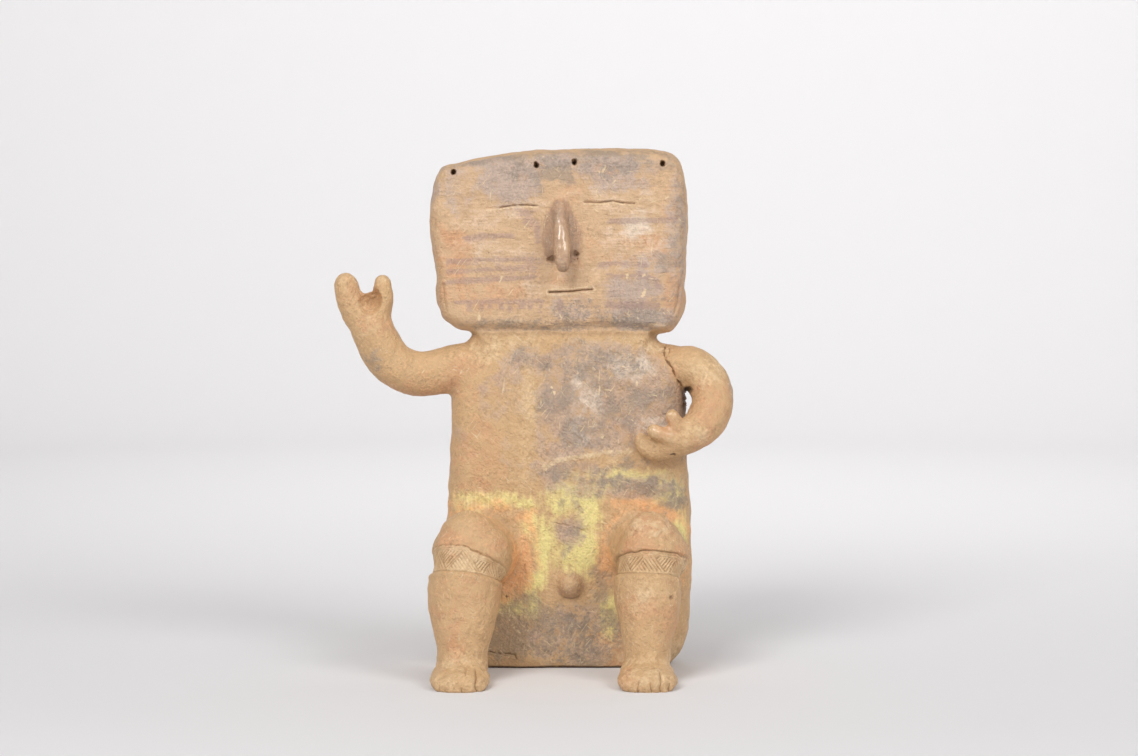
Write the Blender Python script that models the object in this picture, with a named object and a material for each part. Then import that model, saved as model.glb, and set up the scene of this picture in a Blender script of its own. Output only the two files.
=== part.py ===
"""Seated slab figure of fired clay, hand-built as one piece, in metres with +Z up and the face towards -Y.

The origin is the middle of the slab's flat underside. The pose is drawn in parts, with the figure
PARTS_TALL parts tall, so that the whole drawing follows FIGURE_HEIGHT. Thicknesses, the four pierced holes
and how far things stand out of the clay are real sizes of their own.
"""

import math

import bmesh
import bpy
import numpy as np
from mathutils import Matrix

# Driving dimensions, in metres
FIGURE_HEIGHT = 0.450
TORSO_THICKNESS = 0.054
NECK_THICKNESS = 0.042
HEAD_THICKNESS = 0.044
TORSO_EDGE_ROUNDING = 0.024
HEAD_EDGE_ROUNDING = 0.013
LEG_REACH = 0.110
THIGH_RADIUS = 0.0335
SHIN_RADIUS = 0.0275
CALF_SWELL = 0.0048
ARM_RADIUS = 0.0188
NOSE_REACH = 0.026
KNOB_RADIUS = 0.0115
HOLE_DIAMETER = 0.0045
HOLE_DEPTH = 0.014
SLIT_WIDTH = 0.0018
SLIT_DEPTH = 0.003

# How finely the fused clay is meshed
VOXEL = FIGURE_HEIGHT / 150
SMOOTHING_ROUNDS = 5
KEPT_SHARE_OF_FACES = 0.104
RING_POINTS = 40
OUTLINE_POINTS = 120
ROUND_END_STEPS = 6

PARTS_TALL = 450
PART = FIGURE_HEIGHT / PARTS_TALL
TORSO_FRONT = -TORSO_THICKNESS / 2
HEAD_MIDDLE = -0.004
HEAD_FRONT = HEAD_MIDDLE - HEAD_THICKNESS / 2
ACROSS = (1.0, 0.0, 0.0)
DEPTH = (0.0, 1.0, 0.0)

# Front outlines, as (x, z) in parts
TORSO_OUTLINE = (
    (0, -14), (70, -14), (91, -6), (100, 9), (105, 30), (107.8, 60), (107.8, 118), (105.2, 150),
    (102.6, 180), (101, 232), (98.6, 262), (90, 277), (79, 285), (76, 293), (70, 306), (0, 312),
    (-80, 306), (-86, 293), (-89, 284), (-98.6, 270), (-103, 244), (-103.2, 180), (-105, 152), (-107.8, 120),
    (-107.8, 60), (-105, 30), (-100, 9), (-91, -6), (-70, -14),
)
HEAD_OUTLINE = (
    (-8, 292.6), (40, 294.2), (66, 291.6), (84, 290), (93, 295.8), (98.6, 307), (100.6, 330), (102.8, 362),
    (103.2, 390), (102, 415), (98.6, 434), (92.4, 444.6), (79, 449.6), (50, 450.9), (0, 450.4), (-40, 448.8),
    (-77, 443), (-100, 438), (-110.8, 434.4), (-116.4, 424.6), (-119.9, 408), (-121, 390), (-118.2, 364),
    (-115.2, 340), (-114.2, 322), (-111.2, 307.4), (-102.6, 298.2), (-90, 293.2), (-60, 292.2),
)
HOLES = ((-99, 429.7), (-27.8, 436.0), (4.8, 438.4), (80.6, 437.2))
KNOB = (1.3, 73.6)
LEFT_EYE_SLIT = ((-69, 399.2), (-60, 399.6), (-48, 402.0), (-36, 401.8), (-28, 400.8))
RIGHT_EYE_SLIT = ((13.5, 404.2), (26, 404.2), (38, 405.2), (46, 403.6), (54, 403.2))
PALM = (-172, 30, 322)
PALM_RADII = (10.5, 14, 12.5)
MOUTH_SLIT = ((-17, 327.2), (-8, 327.2), (2, 327.5), (11, 328.4), (19.5, 329.3))


def closed_curve(corners, count):
    """Catmull-Rom curve through the corners and back to the first, sampled evenly by parameter."""
    corners = np.array(corners, float)
    turn = np.arange(count) * len(corners) / count
    first = turn.astype(int)
    t = (turn - first)[:, None]
    before, start, end, after = (corners[(first + k) % len(corners)] for k in (-1, 0, 1, 2))
    return 0.5 * (
        2 * start
        + (end - before) * t
        + (2 * before - 5 * start + 4 * end - after) * t**2
        + (3 * start - before - 3 * end + after) * t**3
    )


def open_curve(stations, steps=6):
    """The same curve through an open row of stations, with the end stations repeated."""
    stations = np.array(stations, float)
    padded = np.vstack([stations[0], stations, stations[-1]])
    rows = []
    for i in range(len(stations) - 1):
        before, start, end, after = padded[i : i + 4]
        for t in np.arange(steps) / steps:
            rows.append(
                0.5
                * (
                    2 * start
                    + (end - before) * t
                    + (2 * before - 5 * start + 4 * end - after) * t**2
                    + (3 * start - before - 3 * end + after) * t**3
                )
            )
    rows.append(stations[-1])
    return np.array(rows)


def loft(clay, rings):
    """Skins a row of equal rings of points into one closed body, with a flat cap at each end."""
    loops = [[clay.verts.new(point) for point in ring] for ring in rings]
    for near, far in zip(loops, loops[1:]):
        for i in range(len(near)):
            j = (i + 1) % len(near)
            clay.faces.new((near[i], near[j], far[j], far[i]))
    clay.faces.new(reversed(loops[0]))
    clay.faces.new(loops[-1])


def slab(clay, outline, middle_y, half_thickness, rounding, pillow):
    """A slab with the given front outline. Each ring is the outline drawn in towards its middle, first over the
    front face, then round the edge, which is a quarter ellipse in section, and back over the rear face.
    half_thickness is a function of height, and pillow the share by which the faces swell in the middle."""
    edge = closed_curve(outline, OUTLINE_POINTS) * PART
    middle = (edge.max(0) + edge.min(0)) / 2
    along = np.roll(edge, -1, 0) - np.roll(edge, 1, 0)
    outward = np.stack([along[:, 1], -along[:, 0]], 1) / np.linalg.norm(along, axis=1)[:, None]
    span = ((edge - middle) * outward).sum(1)
    shares = 1 - (1 - np.linspace(0.06, 1, 16)) ** 3
    rings = []
    for side, order in ((-1, shares), (1, shares[-2::-1])):
        for share in order:
            flat = middle + (edge - middle) * share
            inset = np.clip((1 - share) * span / rounding, 0, 1)
            swell = 1 + pillow * (1 - share**2)
            depth = half_thickness(flat[:, 1]) * swell * np.sqrt(1 - (1 - inset) ** 2)
            rings.append(np.stack([flat[:, 0], middle_y + side * depth, flat[:, 1]], 1))
    loft(clay, rings)


def limb(clay, stations, reference, round_ends=(True, True)):
    """A rolled limb through stations (x, y, z, half size along the reference axis, half size across it), in
    metres, with domed ends."""
    rows = open_curve(stations)
    centres, sizes = rows[:, :3], rows[:, 3:]
    tangents = np.gradient(centres, axis=0)
    tangents /= np.linalg.norm(tangents, axis=1)[:, None]
    first = np.array(reference) - tangents * (tangents @ np.array(reference))[:, None]
    first /= np.linalg.norm(first, axis=1)[:, None]
    second = np.cross(tangents, first)
    turn = np.arange(RING_POINTS) * 2 * math.pi / RING_POINTS
    dome = np.arange(1, ROUND_END_STEPS + 1) / (ROUND_END_STEPS + 0.35) * math.pi / 2
    rings = []

    def ring(i, shift, scale):
        around = np.outer(np.cos(turn) * sizes[i, 0] * scale, first[i])
        around += np.outer(np.sin(turn) * sizes[i, 1] * scale, second[i])
        rings.append(centres[i] + tangents[i] * shift + around)

    if round_ends[0]:
        for angle in dome[::-1]:
            ring(0, -math.sin(angle) * sizes[0].min(), math.cos(angle))
    for i in range(len(rows)):
        ring(i, 0, 1)
    if round_ends[1]:
        for angle in dome:
            ring(-1, math.sin(angle) * sizes[-1].min(), math.cos(angle))
    loft(clay, rings)


def pellet(clay, centre, radii):
    """A pressed-on lump of clay, an ellipsoid."""
    made = bmesh.ops.create_uvsphere(clay, u_segments=24, v_segments=14, radius=1.0)["verts"]
    bmesh.ops.scale(clay, vec=radii, verts=made)
    bmesh.ops.translate(clay, vec=centre, verts=made)


def parts_to_metres(stations, front=0.0):
    """Stations (x, reach forward of front, z, half size, half size) in parts, as metres with y set from front."""
    return [
        (x * PART, front - reach * PART, z * PART, first * PART, second * PART)
        for x, reach, z, first, second in stations
    ]


def torso_and_neck(clay):
    heights = np.array([0, 40, 120, 200, 255, 284, 312]) * PART
    torso, neck = TORSO_THICKNESS / 2, NECK_THICKNESS / 2
    halves = [torso * 0.94, torso, torso, torso * 0.96, torso * 0.86, neck, neck]
    slab(clay, TORSO_OUTLINE, 0.0, lambda z: np.interp(z, heights, halves), TORSO_EDGE_ROUNDING, 0.06)


def head(clay):
    slab(clay, HEAD_OUTLINE, HEAD_MIDDLE, lambda z: HEAD_THICKNESS / 2 + 0 * z, HEAD_EDGE_ROUNDING, 0.05)
    for x, z, out in ((-110.5, 325, 6.2), (96.5, 319, 6.4)):
        pellet(clay, (x * PART, HEAD_MIDDLE + 0.004, z * PART), (out * PART, 0.009, 14 * PART))


def nose(clay):
    """A broad low wedge with a rounded ridge along its middle, which hangs below it."""
    reach = NOSE_REACH / PART
    wedge = (
        (-6.6, -3, 407, 7, 6), (-6.6, reach * 0.05, 394, 13.5, 8.5), (-6.4, reach * 0.15, 378, 16.4, 11),
        (-6, reach * 0.18, 364, 16.4, 12.5), (-5.8, reach * 0.15, 358.4, 15.4, 10.5),
    )
    ridge = (
        (-6.5, -3, 410, 4.4, 4.4), (-6.4, reach * 0.28, 398, 6, 6.2), (-6.2, reach * 0.56, 380, 7, 7),
        (-5.4, reach * 0.73, 362, 7.4, 7.2), (-4.4, reach * 0.68, 349, 6.4, 6.2),
    )
    limb(clay, parts_to_metres(wedge, HEAD_FRONT), ACROSS)
    limb(clay, parts_to_metres(ridge, HEAD_FRONT), ACROSS)


def raised_arm(clay):
    """The figure's right arm: out from the shoulder, up, and open into a forked hand with a dished palm."""
    r = ARM_RADIUS / PART
    arm = (
        (-70, 0, 263, r * 1.12, r * 1.2), (-96, 2, 259.5, r * 1.03, r * 1.14), (-112, 4, 256.6, r, r * 1.05),
        (-131, 7, 255.4, r, r * 1.02), (-147, 10, 260.4, r, r * 1.03), (-158.8, 12, 271, r, r * 1.02),
        (-166.5, 13, 285, r * 0.97, r * 0.98), (-172, 14, 298, r * 0.9, r * 0.98), (-176, 15, 311, r * 0.72, r * 1.14),
        (-177, 15, 320, r * 0.36, r * 0.92),
    )
    outer_lobe = ((-183, 15, 307, 11, 12), (-189.4, 16, 319, 11, 11.6), (-192.4, 17, 333, 10.2, 10.2))
    inner_lobe = ((-167, 15, 307, 10.6, 12), (-161.8, 16, 320, 9.8, 9.8), (-161.4, 18, 334, 8.4, 8.4))
    for stations in (arm, outer_lobe, inner_lobe):
        limb(clay, parts_to_metres(stations), DEPTH)


def lowered_arm(clay):
    """The figure's left arm: out, down and back in, with the forked hand laid on the chest. The hand's reach is
    measured from the torso's face, so that it stays on it."""
    r = ARM_RADIUS / PART
    face = TORSO_THICKNESS / 2 / PART
    arm = (
        (70, 0, 264, r * 1.1, r * 1.1), (94, 3, 261.5, r, r * 0.99), (107.6, 7, 259, r, r * 0.99),
        (119, 13, 250, r, r * 0.98), (125, 20, 233.5, r, r * 0.97), (120.6, 0.4 * face + 17, 217, r * 0.96, r * 0.96),
        (110.5, 0.8 * face + 13, 205, r * 0.92, r * 0.93), (98, face + 10, 198.5, r * 0.82, r * 0.84),
        (86, face + 8, 196, r * 0.7, r * 0.72),
    )
    thumb = ((101, face + 14, 206, 8, 8.2), (97, face + 18, 213.5, 7.6, 7.6), (93.4, face + 20, 219.2, 6.6, 6.8))
    finger = (
        (98, face + 13, 201, 8, 7.4), (88, face + 17, 203, 7.4, 6.6), (79, face + 19, 206, 6.6, 6.2),
        (74.6, face + 19, 207.8, 5.8, 5.8),
    )
    under = (
        (96, face + 7, 194, 9, 8.8), (84, face + 8, 191.6, 9, 8.4), (72, face + 6, 193.4, 8.2, 7.8),
        (63.5, face + 4, 199, 6.6, 6.6),
    )
    for stations in (arm, thumb, finger, under):
        limb(clay, parts_to_metres(stations), DEPTH)


def leg(clay, hip_x, knee_x, foot_x, girth):
    """One bent leg: a short thigh out of the slab ending in a round knee, a shin tied in by a flat band above a
    swollen calf, and a broad short foot. girth scales its width."""
    reach = LEG_REACH / PART
    thigh = THIGH_RADIUS / PART * girth
    shin = SHIN_RADIUS / PART * girth
    calf = shin + CALF_SWELL / PART
    knee = 0.32 * reach
    lean = foot_x - knee_x
    thigh_rows = (
        (hip_x, -14, 102, thigh * 1.15, thigh * 1.14), (hip_x, 0, 102, thigh * 1.11, thigh * 1.09),
        (hip_x, 6, 102, thigh * 1.05, thigh * 1.03), (knee_x, knee * 0.6, 103, thigh * 1.01, thigh),
        (knee_x, knee, 103.4, thigh * 0.985, thigh * 0.98),
    )
    shin_rows = (
        (knee_x + lean * 0.4, reach * 0.34, 118, shin * 0.9, shin * 0.9),
        (knee_x + lean * 0.55, reach * 0.36, 109, shin, shin),
        (knee_x + lean * 0.7, reach * 0.395, 99, shin, shin * 0.99),
        (knee_x + lean * 0.8, reach * 0.42, 92, shin * 0.985, shin * 0.97),
        (knee_x + lean * 0.82, reach * 0.43, 89, calf * 0.95, calf * 0.93),
        (knee_x + lean * 0.9, reach * 0.45, 82, calf, calf * 0.97),
        (foot_x, reach * 0.49, 64, calf * 0.94, calf * 0.92),
        (foot_x, reach * 0.53, 45, calf * 0.8, calf * 0.8),
        (foot_x, reach * 0.56, 27, calf * 0.68, calf * 0.72),
        (foot_x, reach * 0.575, 10, calf * 0.68, calf * 0.74),
        (foot_x, reach * 0.58, -4, calf * 0.68, calf * 0.74),
    )
    foot_rows = (
        (foot_x, reach * 0.47, 5, calf * 0.56, 9), (foot_x, reach * 0.6, 9, calf * 0.70, 14),
        (foot_x, reach * 0.74, 7, calf * 0.80, 14), (foot_x, reach * 0.86, 4, calf * 0.82, 12.5),
        (foot_x, reach * 0.905, 3, calf * 0.76, 11.5),
    )
    limb(clay, parts_to_metres(thigh_rows, TORSO_FRONT), ACROSS, round_ends=(False, True))
    limb(clay, parts_to_metres(shin_rows, TORSO_FRONT), ACROSS)
    limb(clay, parts_to_metres(foot_rows, TORSO_FRONT), ACROSS)


def knob(clay):
    x, z = KNOB
    pellet(clay, (x * PART, TORSO_FRONT, z * PART), (KNOB_RADIUS, KNOB_RADIUS * 0.95, KNOB_RADIUS))


def fired_clay():
    """The buff clay with a red-brown cast, dry and unglazed."""
    material = bpy.data.materials.new("fired_clay")
    material.use_nodes = True
    shader = material.node_tree.nodes["Principled BSDF"]
    shader.inputs["Base Color"].default_value = (0.565, 0.345, 0.190, 1.0)
    shader.inputs["Roughness"].default_value = 0.72
    shader.inputs["Metallic"].default_value = 0.0
    return material


def cutter(name, fill):
    """A helper that is cut away from the clay and never shown."""
    mesh = bpy.data.meshes.new(name)
    shape = bmesh.new()
    fill(shape)
    shape.to_mesh(mesh)
    shape.free()
    tool = bpy.data.objects.new(name, mesh)
    bpy.context.scene.collection.objects.link(tool)
    tool.hide_render = True
    tool.display_type = "WIRE"
    return tool


def ground_block(shape):
    """Everything below the ground, so that the slab and both feet end in one flat plane."""
    side = FIGURE_HEIGHT * 2
    made = bmesh.ops.create_cube(shape, size=side)["verts"]
    bmesh.ops.translate(shape, vec=(0, 0, -side / 2), verts=made)


def hole_pins(shape):
    """The four pins that pierce the top of the face, each as deep as HOLE_DEPTH."""
    for x, z in HOLES:
        made = bmesh.ops.create_cone(
            shape, cap_ends=True, segments=12, radius1=HOLE_DIAMETER / 2, radius2=HOLE_DIAMETER / 2, depth=HOLE_DEPTH * 2
        )["verts"]
        bmesh.ops.rotate(shape, matrix=Matrix.Rotation(math.pi / 2, 3, "X"), verts=made)
        bmesh.ops.translate(shape, vec=(x * PART, HEAD_FRONT, z * PART), verts=made)


def slit_blades(shape):
    """The two closed eyes and the mouth, pressed in with a straight edge: thin blades that follow each slit."""
    for slit in (LEFT_EYE_SLIT, RIGHT_EYE_SLIT, MOUTH_SLIT):
        line = np.array(slit) * PART
        half = np.full(len(line), SLIT_WIDTH / 2)
        half[[0, -1]] *= 0.4
        corners = []
        for depth in (HEAD_FRONT + SLIT_DEPTH * 0.5, HEAD_FRONT - 2 * SLIT_DEPTH):
            for side in (-1, 1):
                corners.append([shape.verts.new((x, depth, z + side * h)) for (x, z), h in zip(line, half)])
        back_low, back_high, front_low, front_high = corners
        for a, b in ((back_low, back_high), (back_high, front_high), (front_high, front_low), (front_low, back_low)):
            for i in range(len(line) - 1):
                shape.faces.new((a[i], a[i + 1], b[i + 1], b[i]))
        for i in (0, -1):
            shape.faces.new((back_low[i], back_high[i], front_high[i], front_low[i]))
    bmesh.ops.recalc_face_normals(shape, faces=shape.faces)


def palm_press(shape):
    """The thumb's dent in the raised palm."""
    x, reach, z = PALM
    pellet(shape, (x * PART, -reach * PART, z * PART), tuple(radius * PART for radius in PALM_RADII))


def cut_away(figure, tool):
    step = figure.modifiers.new(tool.name, "BOOLEAN")
    step.operation = "DIFFERENCE"
    step.solver = "EXACT"
    step.object = tool


def build():
    for old in list(bpy.data.objects):
        bpy.data.objects.remove(old)

    clay = bmesh.new()
    torso_and_neck(clay)
    head(clay)
    nose(clay)
    raised_arm(clay)
    lowered_arm(clay)
    leg(clay, hip_x=-75, knee_x=-81.3, foot_x=-91, girth=1.0)
    leg(clay, hip_x=69.5, knee_x=71.5, foot_x=66.5, girth=0.93)
    knob(clay)
    bmesh.ops.recalc_face_normals(clay, faces=clay.faces)
    mesh = bpy.data.meshes.new("slab_figure")
    clay.to_mesh(mesh)
    clay.free()

    figure = bpy.data.objects.new("slab_figure", mesh)
    bpy.context.scene.collection.objects.link(figure)
    figure.data.materials.append(fired_clay())

    fuse = figure.modifiers.new("press_the_clay_together", "REMESH")
    fuse.mode = "VOXEL"
    fuse.voxel_size = VOXEL
    soften = figure.modifiers.new("smooth_the_joins", "SMOOTH")
    soften.factor = 0.5
    soften.iterations = SMOOTHING_ROUNDS
    thin = figure.modifiers.new("fewer_faces", "DECIMATE")
    thin.ratio = KEPT_SHARE_OF_FACES
    cut_away(figure, cutter("ground", ground_block))
    cut_away(figure, cutter("hole_pins", hole_pins))
    cut_away(figure, cutter("slit_blades", slit_blades))
    cut_away(figure, cutter("palm_press", palm_press))


build()
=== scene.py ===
# %% [markdown]
# # A seated slab figure of fired clay
#
# The figure was built by hand. A flat slab makes the body, a second slab the head, and rolls of clay the
# arms and legs. All of it was pressed together wet, rubbed smooth with a pebble, painted, and fired at a
# low heat. This lesson builds it in the same order: shapes first, then the joins, then the marks of the
# tools, then colour.

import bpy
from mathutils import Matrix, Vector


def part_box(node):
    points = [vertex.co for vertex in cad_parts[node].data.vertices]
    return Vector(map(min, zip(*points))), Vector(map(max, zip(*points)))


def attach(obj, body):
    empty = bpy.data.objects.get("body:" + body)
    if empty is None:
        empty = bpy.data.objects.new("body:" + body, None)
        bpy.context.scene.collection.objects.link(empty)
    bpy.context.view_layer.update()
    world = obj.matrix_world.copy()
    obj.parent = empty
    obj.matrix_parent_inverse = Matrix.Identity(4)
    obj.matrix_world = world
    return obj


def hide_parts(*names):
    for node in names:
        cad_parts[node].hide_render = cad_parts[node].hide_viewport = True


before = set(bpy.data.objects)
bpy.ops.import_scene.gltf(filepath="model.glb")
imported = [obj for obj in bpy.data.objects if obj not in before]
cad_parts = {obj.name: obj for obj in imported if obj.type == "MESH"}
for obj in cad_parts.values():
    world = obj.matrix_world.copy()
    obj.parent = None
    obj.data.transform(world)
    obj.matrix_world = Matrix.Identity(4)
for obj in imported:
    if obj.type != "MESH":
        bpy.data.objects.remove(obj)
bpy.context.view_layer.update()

# %% [markdown]
# ## Units
#
# A hand-built figure has no straight measure in it, so it is drawn in parts of its own height: 450 parts
# from the ground to the top of the head, which makes one part a millimetre. The height itself comes from
# the solid that was loaded, so the drawing always fits it.

# %% The part, the unit of the drawing
import math

import bmesh
import bpy
import numpy as np
from mathutils import Vector

PARTS_TALL = 450.83
lowest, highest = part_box("slab_figure")
PART = (highest[2] - lowest[2]) / PARTS_TALL
TORSO_FRONT = -27.0
HEAD_MIDDLE = -4.0
HEAD_FRONT = -26.0
print("one part is", round(PART * 1000, 4), "mm")

# %% [markdown]
# ## Smooth lines through a few points
#
# The potter's outlines are soft curves. A Catmull-Rom curve passes through every point that is given and
# bends smoothly between them, so a few points are enough, and each can be read off the object.

# %% Curves


def catmull_rom(before, start, end, after, t):
    """Cubic from start to end as t goes from 0 to 1. Its slope at either end is half the way between that
    end's two neighbours."""
    return 0.5 * (
        2 * start
        + (end - before) * t
        + (2 * before - 5 * start + 4 * end - after) * t**2
        + (3 * start - before - 3 * end + after) * t**3
    )


def closed_curve(corners, count):
    """The curve through all corners and back to the first, at count even steps of its parameter."""
    corners = np.array(corners, float)
    place = np.arange(count) * len(corners) / count
    first = place.astype(int)
    near = [corners[(first + k) % len(corners)] for k in (-1, 0, 1, 2)]
    return catmull_rom(*near, (place - first)[:, None])


def open_curve(stations, steps=10):
    """The curve through a row of stations; the two end stations count twice."""
    stations = np.array(stations, float)
    padded = np.vstack([stations[:1], stations, stations[-1:]])
    place = np.arange((len(stations) - 1) * steps + 1) / steps
    first = np.minimum(place.astype(int), len(stations) - 2)
    near = [padded[first + k] for k in range(4)]
    return catmull_rom(*near, (place - first)[:, None])


print("a square of four corners becomes", len(closed_curve([(0, 0), (1, 0), (1, 1), (0, 1)], 40)), "points")

# %% [markdown]
# ## One skin for every lump of clay
#
# Slabs, rolls and pellets are all the same thing to a computer: a stack of rings, each with the same
# number of points. Quads join each ring to the next, and a fan of triangles closes each end.

# %% Skin over rings


def skin(rings):
    """Points and faces of a closed body over rings[i, j]. Point (i, j) joins (i, j + 1) and (i + 1, j),
    and the mean of the first and of the last ring closes the two ends."""
    rows, around = rings.shape[:2]
    here = np.arange(rows * around).reshape(rows, around)
    beside = np.roll(here, -1, 1)
    quads = np.stack([here[:-1], beside[:-1], beside[1:], here[1:]], -1).reshape(-1, 4)
    start_cap = np.stack([beside[0], here[0], np.full(around, rows * around)], -1)
    end_cap = np.stack([here[-1], beside[-1], np.full(around, rows * around + 1)], -1)
    points = np.vstack([rings.reshape(-1, 3), rings[0].mean(0), rings[-1].mean(0)])
    return points, quads.tolist() + start_cap.tolist() + end_cap.tolist()


lumps = []
print("two rings of eight points get", len(skin(np.zeros((2, 8, 3)))[1]), "faces")

# %% [markdown]
# ## Rolling out the two slabs
#
# Body and head are slabs about two fingers thick. Their faces swell a little in the middle and their
# edges are rounded over. Each ring is the front outline drawn in towards its middle; near the outline the
# ring also moves back along a quarter ellipse, which makes the rounded edge.

# %% Slabs


def slab(outline, middle_y, half_thickness, rounding, pillow, around=320):
    """Ring k is middle + share_k * (outline - middle). Its depth is the half thickness at that height,
    times 1 + pillow * (1 - share squared), times the quarter ellipse sqrt(1 - (1 - inset / rounding)
    squared)."""
    edge = closed_curve(outline, around)
    middle = (edge.max(0) + edge.min(0)) / 2
    along = np.roll(edge, -1, 0) - np.roll(edge, 1, 0)
    outward = np.stack([along[:, 1], -along[:, 0]], 1) / np.linalg.norm(along, axis=1)[:, None]
    span = ((edge - middle) * outward).sum(1)
    share = 1 - (1 - np.linspace(0.04, 1, 30)) ** 3
    flat = middle + (edge - middle) * share[:, None, None]
    inset = np.clip((1 - share[:, None]) * span / rounding, 0, 1)
    swell = 1 + pillow * (1 - share[:, None] ** 2)
    depth = half_thickness(flat[..., 1]) * swell * np.sqrt(1 - (1 - inset) ** 2)
    front = np.stack([flat[..., 0], middle_y - depth, flat[..., 1]], -1)
    back = np.stack([flat[..., 0], middle_y + depth, flat[..., 1]], -1)
    return skin(np.concatenate([front, back[-2::-1]]))


TORSO_OUTLINE = (
    (0, -14), (58, -14), (78, -7), (88.5, 0), (96.5, 8.5), (101.6, 18), (105, 36), (107.5, 62),
    (107.8, 118), (105.2, 150), (102.6, 180), (101, 232), (98.6, 262), (90, 277), (78, 285), (73.5, 293),
    (70, 306), (0, 312), (-80, 306), (-83, 293), (-88, 284), (-98.6, 270), (-103, 244), (-103.2, 180),
    (-105, 152), (-107.8, 120), (-107.8, 60), (-105, 30), (-100, 9), (-91, -6), (-70, -14),
)
HEAD_OUTLINE = (
    (-8, 292.6), (40, 294.2), (66, 291.6), (84, 290), (93, 295.8), (98.6, 307), (100.6, 330), (102.8, 362),
    (103.2, 390), (102, 415), (98.6, 434), (92.4, 444.6), (79, 449.6), (50, 450.9), (0, 450.4), (-40, 448.8),
    (-77, 443), (-100, 438), (-110.8, 434.4), (-116.4, 424.6), (-119.9, 408), (-121, 390), (-118.2, 364),
    (-115.2, 340), (-114.2, 322), (-111.2, 307.4), (-102.6, 298.2), (-90, 293.2), (-60, 292.2),
)
TORSO_HALF_BY_HEIGHT = ((0, 40, 120, 200, 255, 284, 312), (25.4, 27, 27, 25.9, 23.2, 21, 21))
HEAD_HALF = 22.0


def torso_half(z):
    """Half the body's thickness at the height z."""
    return np.interp(z, *TORSO_HALF_BY_HEIGHT)


def head_half(z):
    """Half the head's thickness, the same at every height."""
    return HEAD_HALF + 0 * z


lumps.append(slab(TORSO_OUTLINE, 0.0, torso_half, rounding=22.0, pillow=0.06))
lumps.append(slab(HEAD_OUTLINE, HEAD_MIDDLE, head_half, rounding=10.5, pillow=0.04))
print("slab points:", [len(points) for points, faces in lumps])

# %% [markdown]
# ## Rolls of clay
#
# Arms, thighs, shins, fingers and the nose are rolls: thick or thin along their length and round or oval
# across. A roll is a ring carried along a curved line. Two half sizes at each station give the oval, and
# a dome closes each end.

# %% Rolls


def roll(stations, reference, domes=(True, True), around=60, dome_steps=9):
    """Stations are (x, reach, z, half size along the reference, half size across it). Ring i is centre +
    cos(turn) * size_1 * first + sin(turn) * size_2 * second, where first is the reference made square to
    the line and second is square to both. A dome is the end ring, moved out by sin and shrunk by cos."""
    rows = open_curve(stations)
    centre, size = rows[:, :3], rows[:, 3:]
    ahead = np.gradient(centre, axis=0)
    ahead /= np.linalg.norm(ahead, axis=1)[:, None]
    first = reference - ahead * (ahead @ reference)[:, None]
    first /= np.linalg.norm(first, axis=1)[:, None]
    second = np.cross(ahead, first)
    angle = np.arange(1, dome_steps + 1) / (dome_steps + 0.3) * math.pi / 2
    shift, scale, row = [np.zeros(len(rows))], [np.ones(len(rows))], [np.arange(len(rows))]
    if domes[0]:
        shift.insert(0, -np.sin(angle[::-1]) * size[0].min())
        scale.insert(0, np.cos(angle[::-1]))
        row.insert(0, np.zeros(dome_steps, int))
    if domes[1]:
        shift.append(np.sin(angle) * size[-1].min())
        scale.append(np.cos(angle))
        row.append(np.full(dome_steps, len(rows) - 1))
    shift, scale, row = (np.concatenate(values)[:, None, None] for values in (shift, scale, row))
    row = row[:, 0, 0]
    turn = (np.arange(around) * 2 * math.pi / around)[None, :, None]
    across = np.cos(turn) * size[row, None, :1] * first[row, None]
    across = across + np.sin(turn) * size[row, None, 1:] * second[row, None]
    return skin(centre[row, None] + ahead[row, None] * shift + across * scale)


ACROSS = np.array([1.0, 0.0, 0.0])
DEPTH = np.array([0.0, 1.0, 0.0])


def reaching(stations, front=0.0):
    """Turns each station's reach forward of the front into a y."""
    return [(x, front - reach, z, first, second) for x, reach, z, first, second in stations]


def pellet(centre, radii, around=44, rows=22):
    """An ellipsoid: centre + (cos(rise) * cos(turn) * rx, cos(rise) * sin(turn) * ry, sin(rise) * rz)."""
    rise = np.linspace(-0.49, 0.49, rows)[:, None] * math.pi
    turn = np.arange(around)[None] * 2 * math.pi / around
    unit = np.stack([np.cos(rise) * np.cos(turn), np.cos(rise) * np.sin(turn), np.sin(rise) + 0 * turn], -1)
    return skin(np.array(centre) + unit * radii)


print("a pellet has", len(pellet((0, 0, 0), (1, 1, 1))[0]), "points")

# %% [markdown]
# ## The nose, the ears and the knob
#
# The nose is a leaf-shaped pad that was pinched up to a ridge. Three rolls give it that profile: a wide
# flat one, a narrower one on it, and the round ridge, which hangs below the other two. The dents left
# beside its end become the nostrils. The ears are slight swellings on the rim, and a pellet is pressed on
# the belly.

# %% Nose, ears and knob
NOSE_REACH = 26.0
nose_pad = (
    (-7.2, -3, 404, 5, 4), (-7, -1, 396, 11.2, 6), (-7, 0, 385, 14.2, 8), (-6.6, 0, 372, 16.2, 9.5),
    (-6.2, 0, 364, 17, 9.5), (-6.2, -2, 360, 15.5, 6),
)
nose_flank = (
    (-7.6, -3, 402, 4.4, 5), (-7.2, 0, 394, 8.6, 9), (-6.8, 0, 380, 11.4, 13.5), (-6.2, 0, 367, 13, 16),
    (-6, -1, 361, 12, 8.5),
)
nose_ridge = (
    (-7.6, -1, 405, 4.6, 5), (-7.4, NOSE_REACH * 0.24, 396, 5.4, 6), (-6.9, NOSE_REACH * 0.48, 380, 6.4, 7),
    (-6.3, NOSE_REACH * 0.65, 367, 7, 7.2), (-5.7, NOSE_REACH * 0.74, 357, 6.7, 6.6),
    (-5.2, NOSE_REACH * 0.67, 349.4, 5.8, 5.8),
)
KNOB = (1.3, 73.6)
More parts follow.
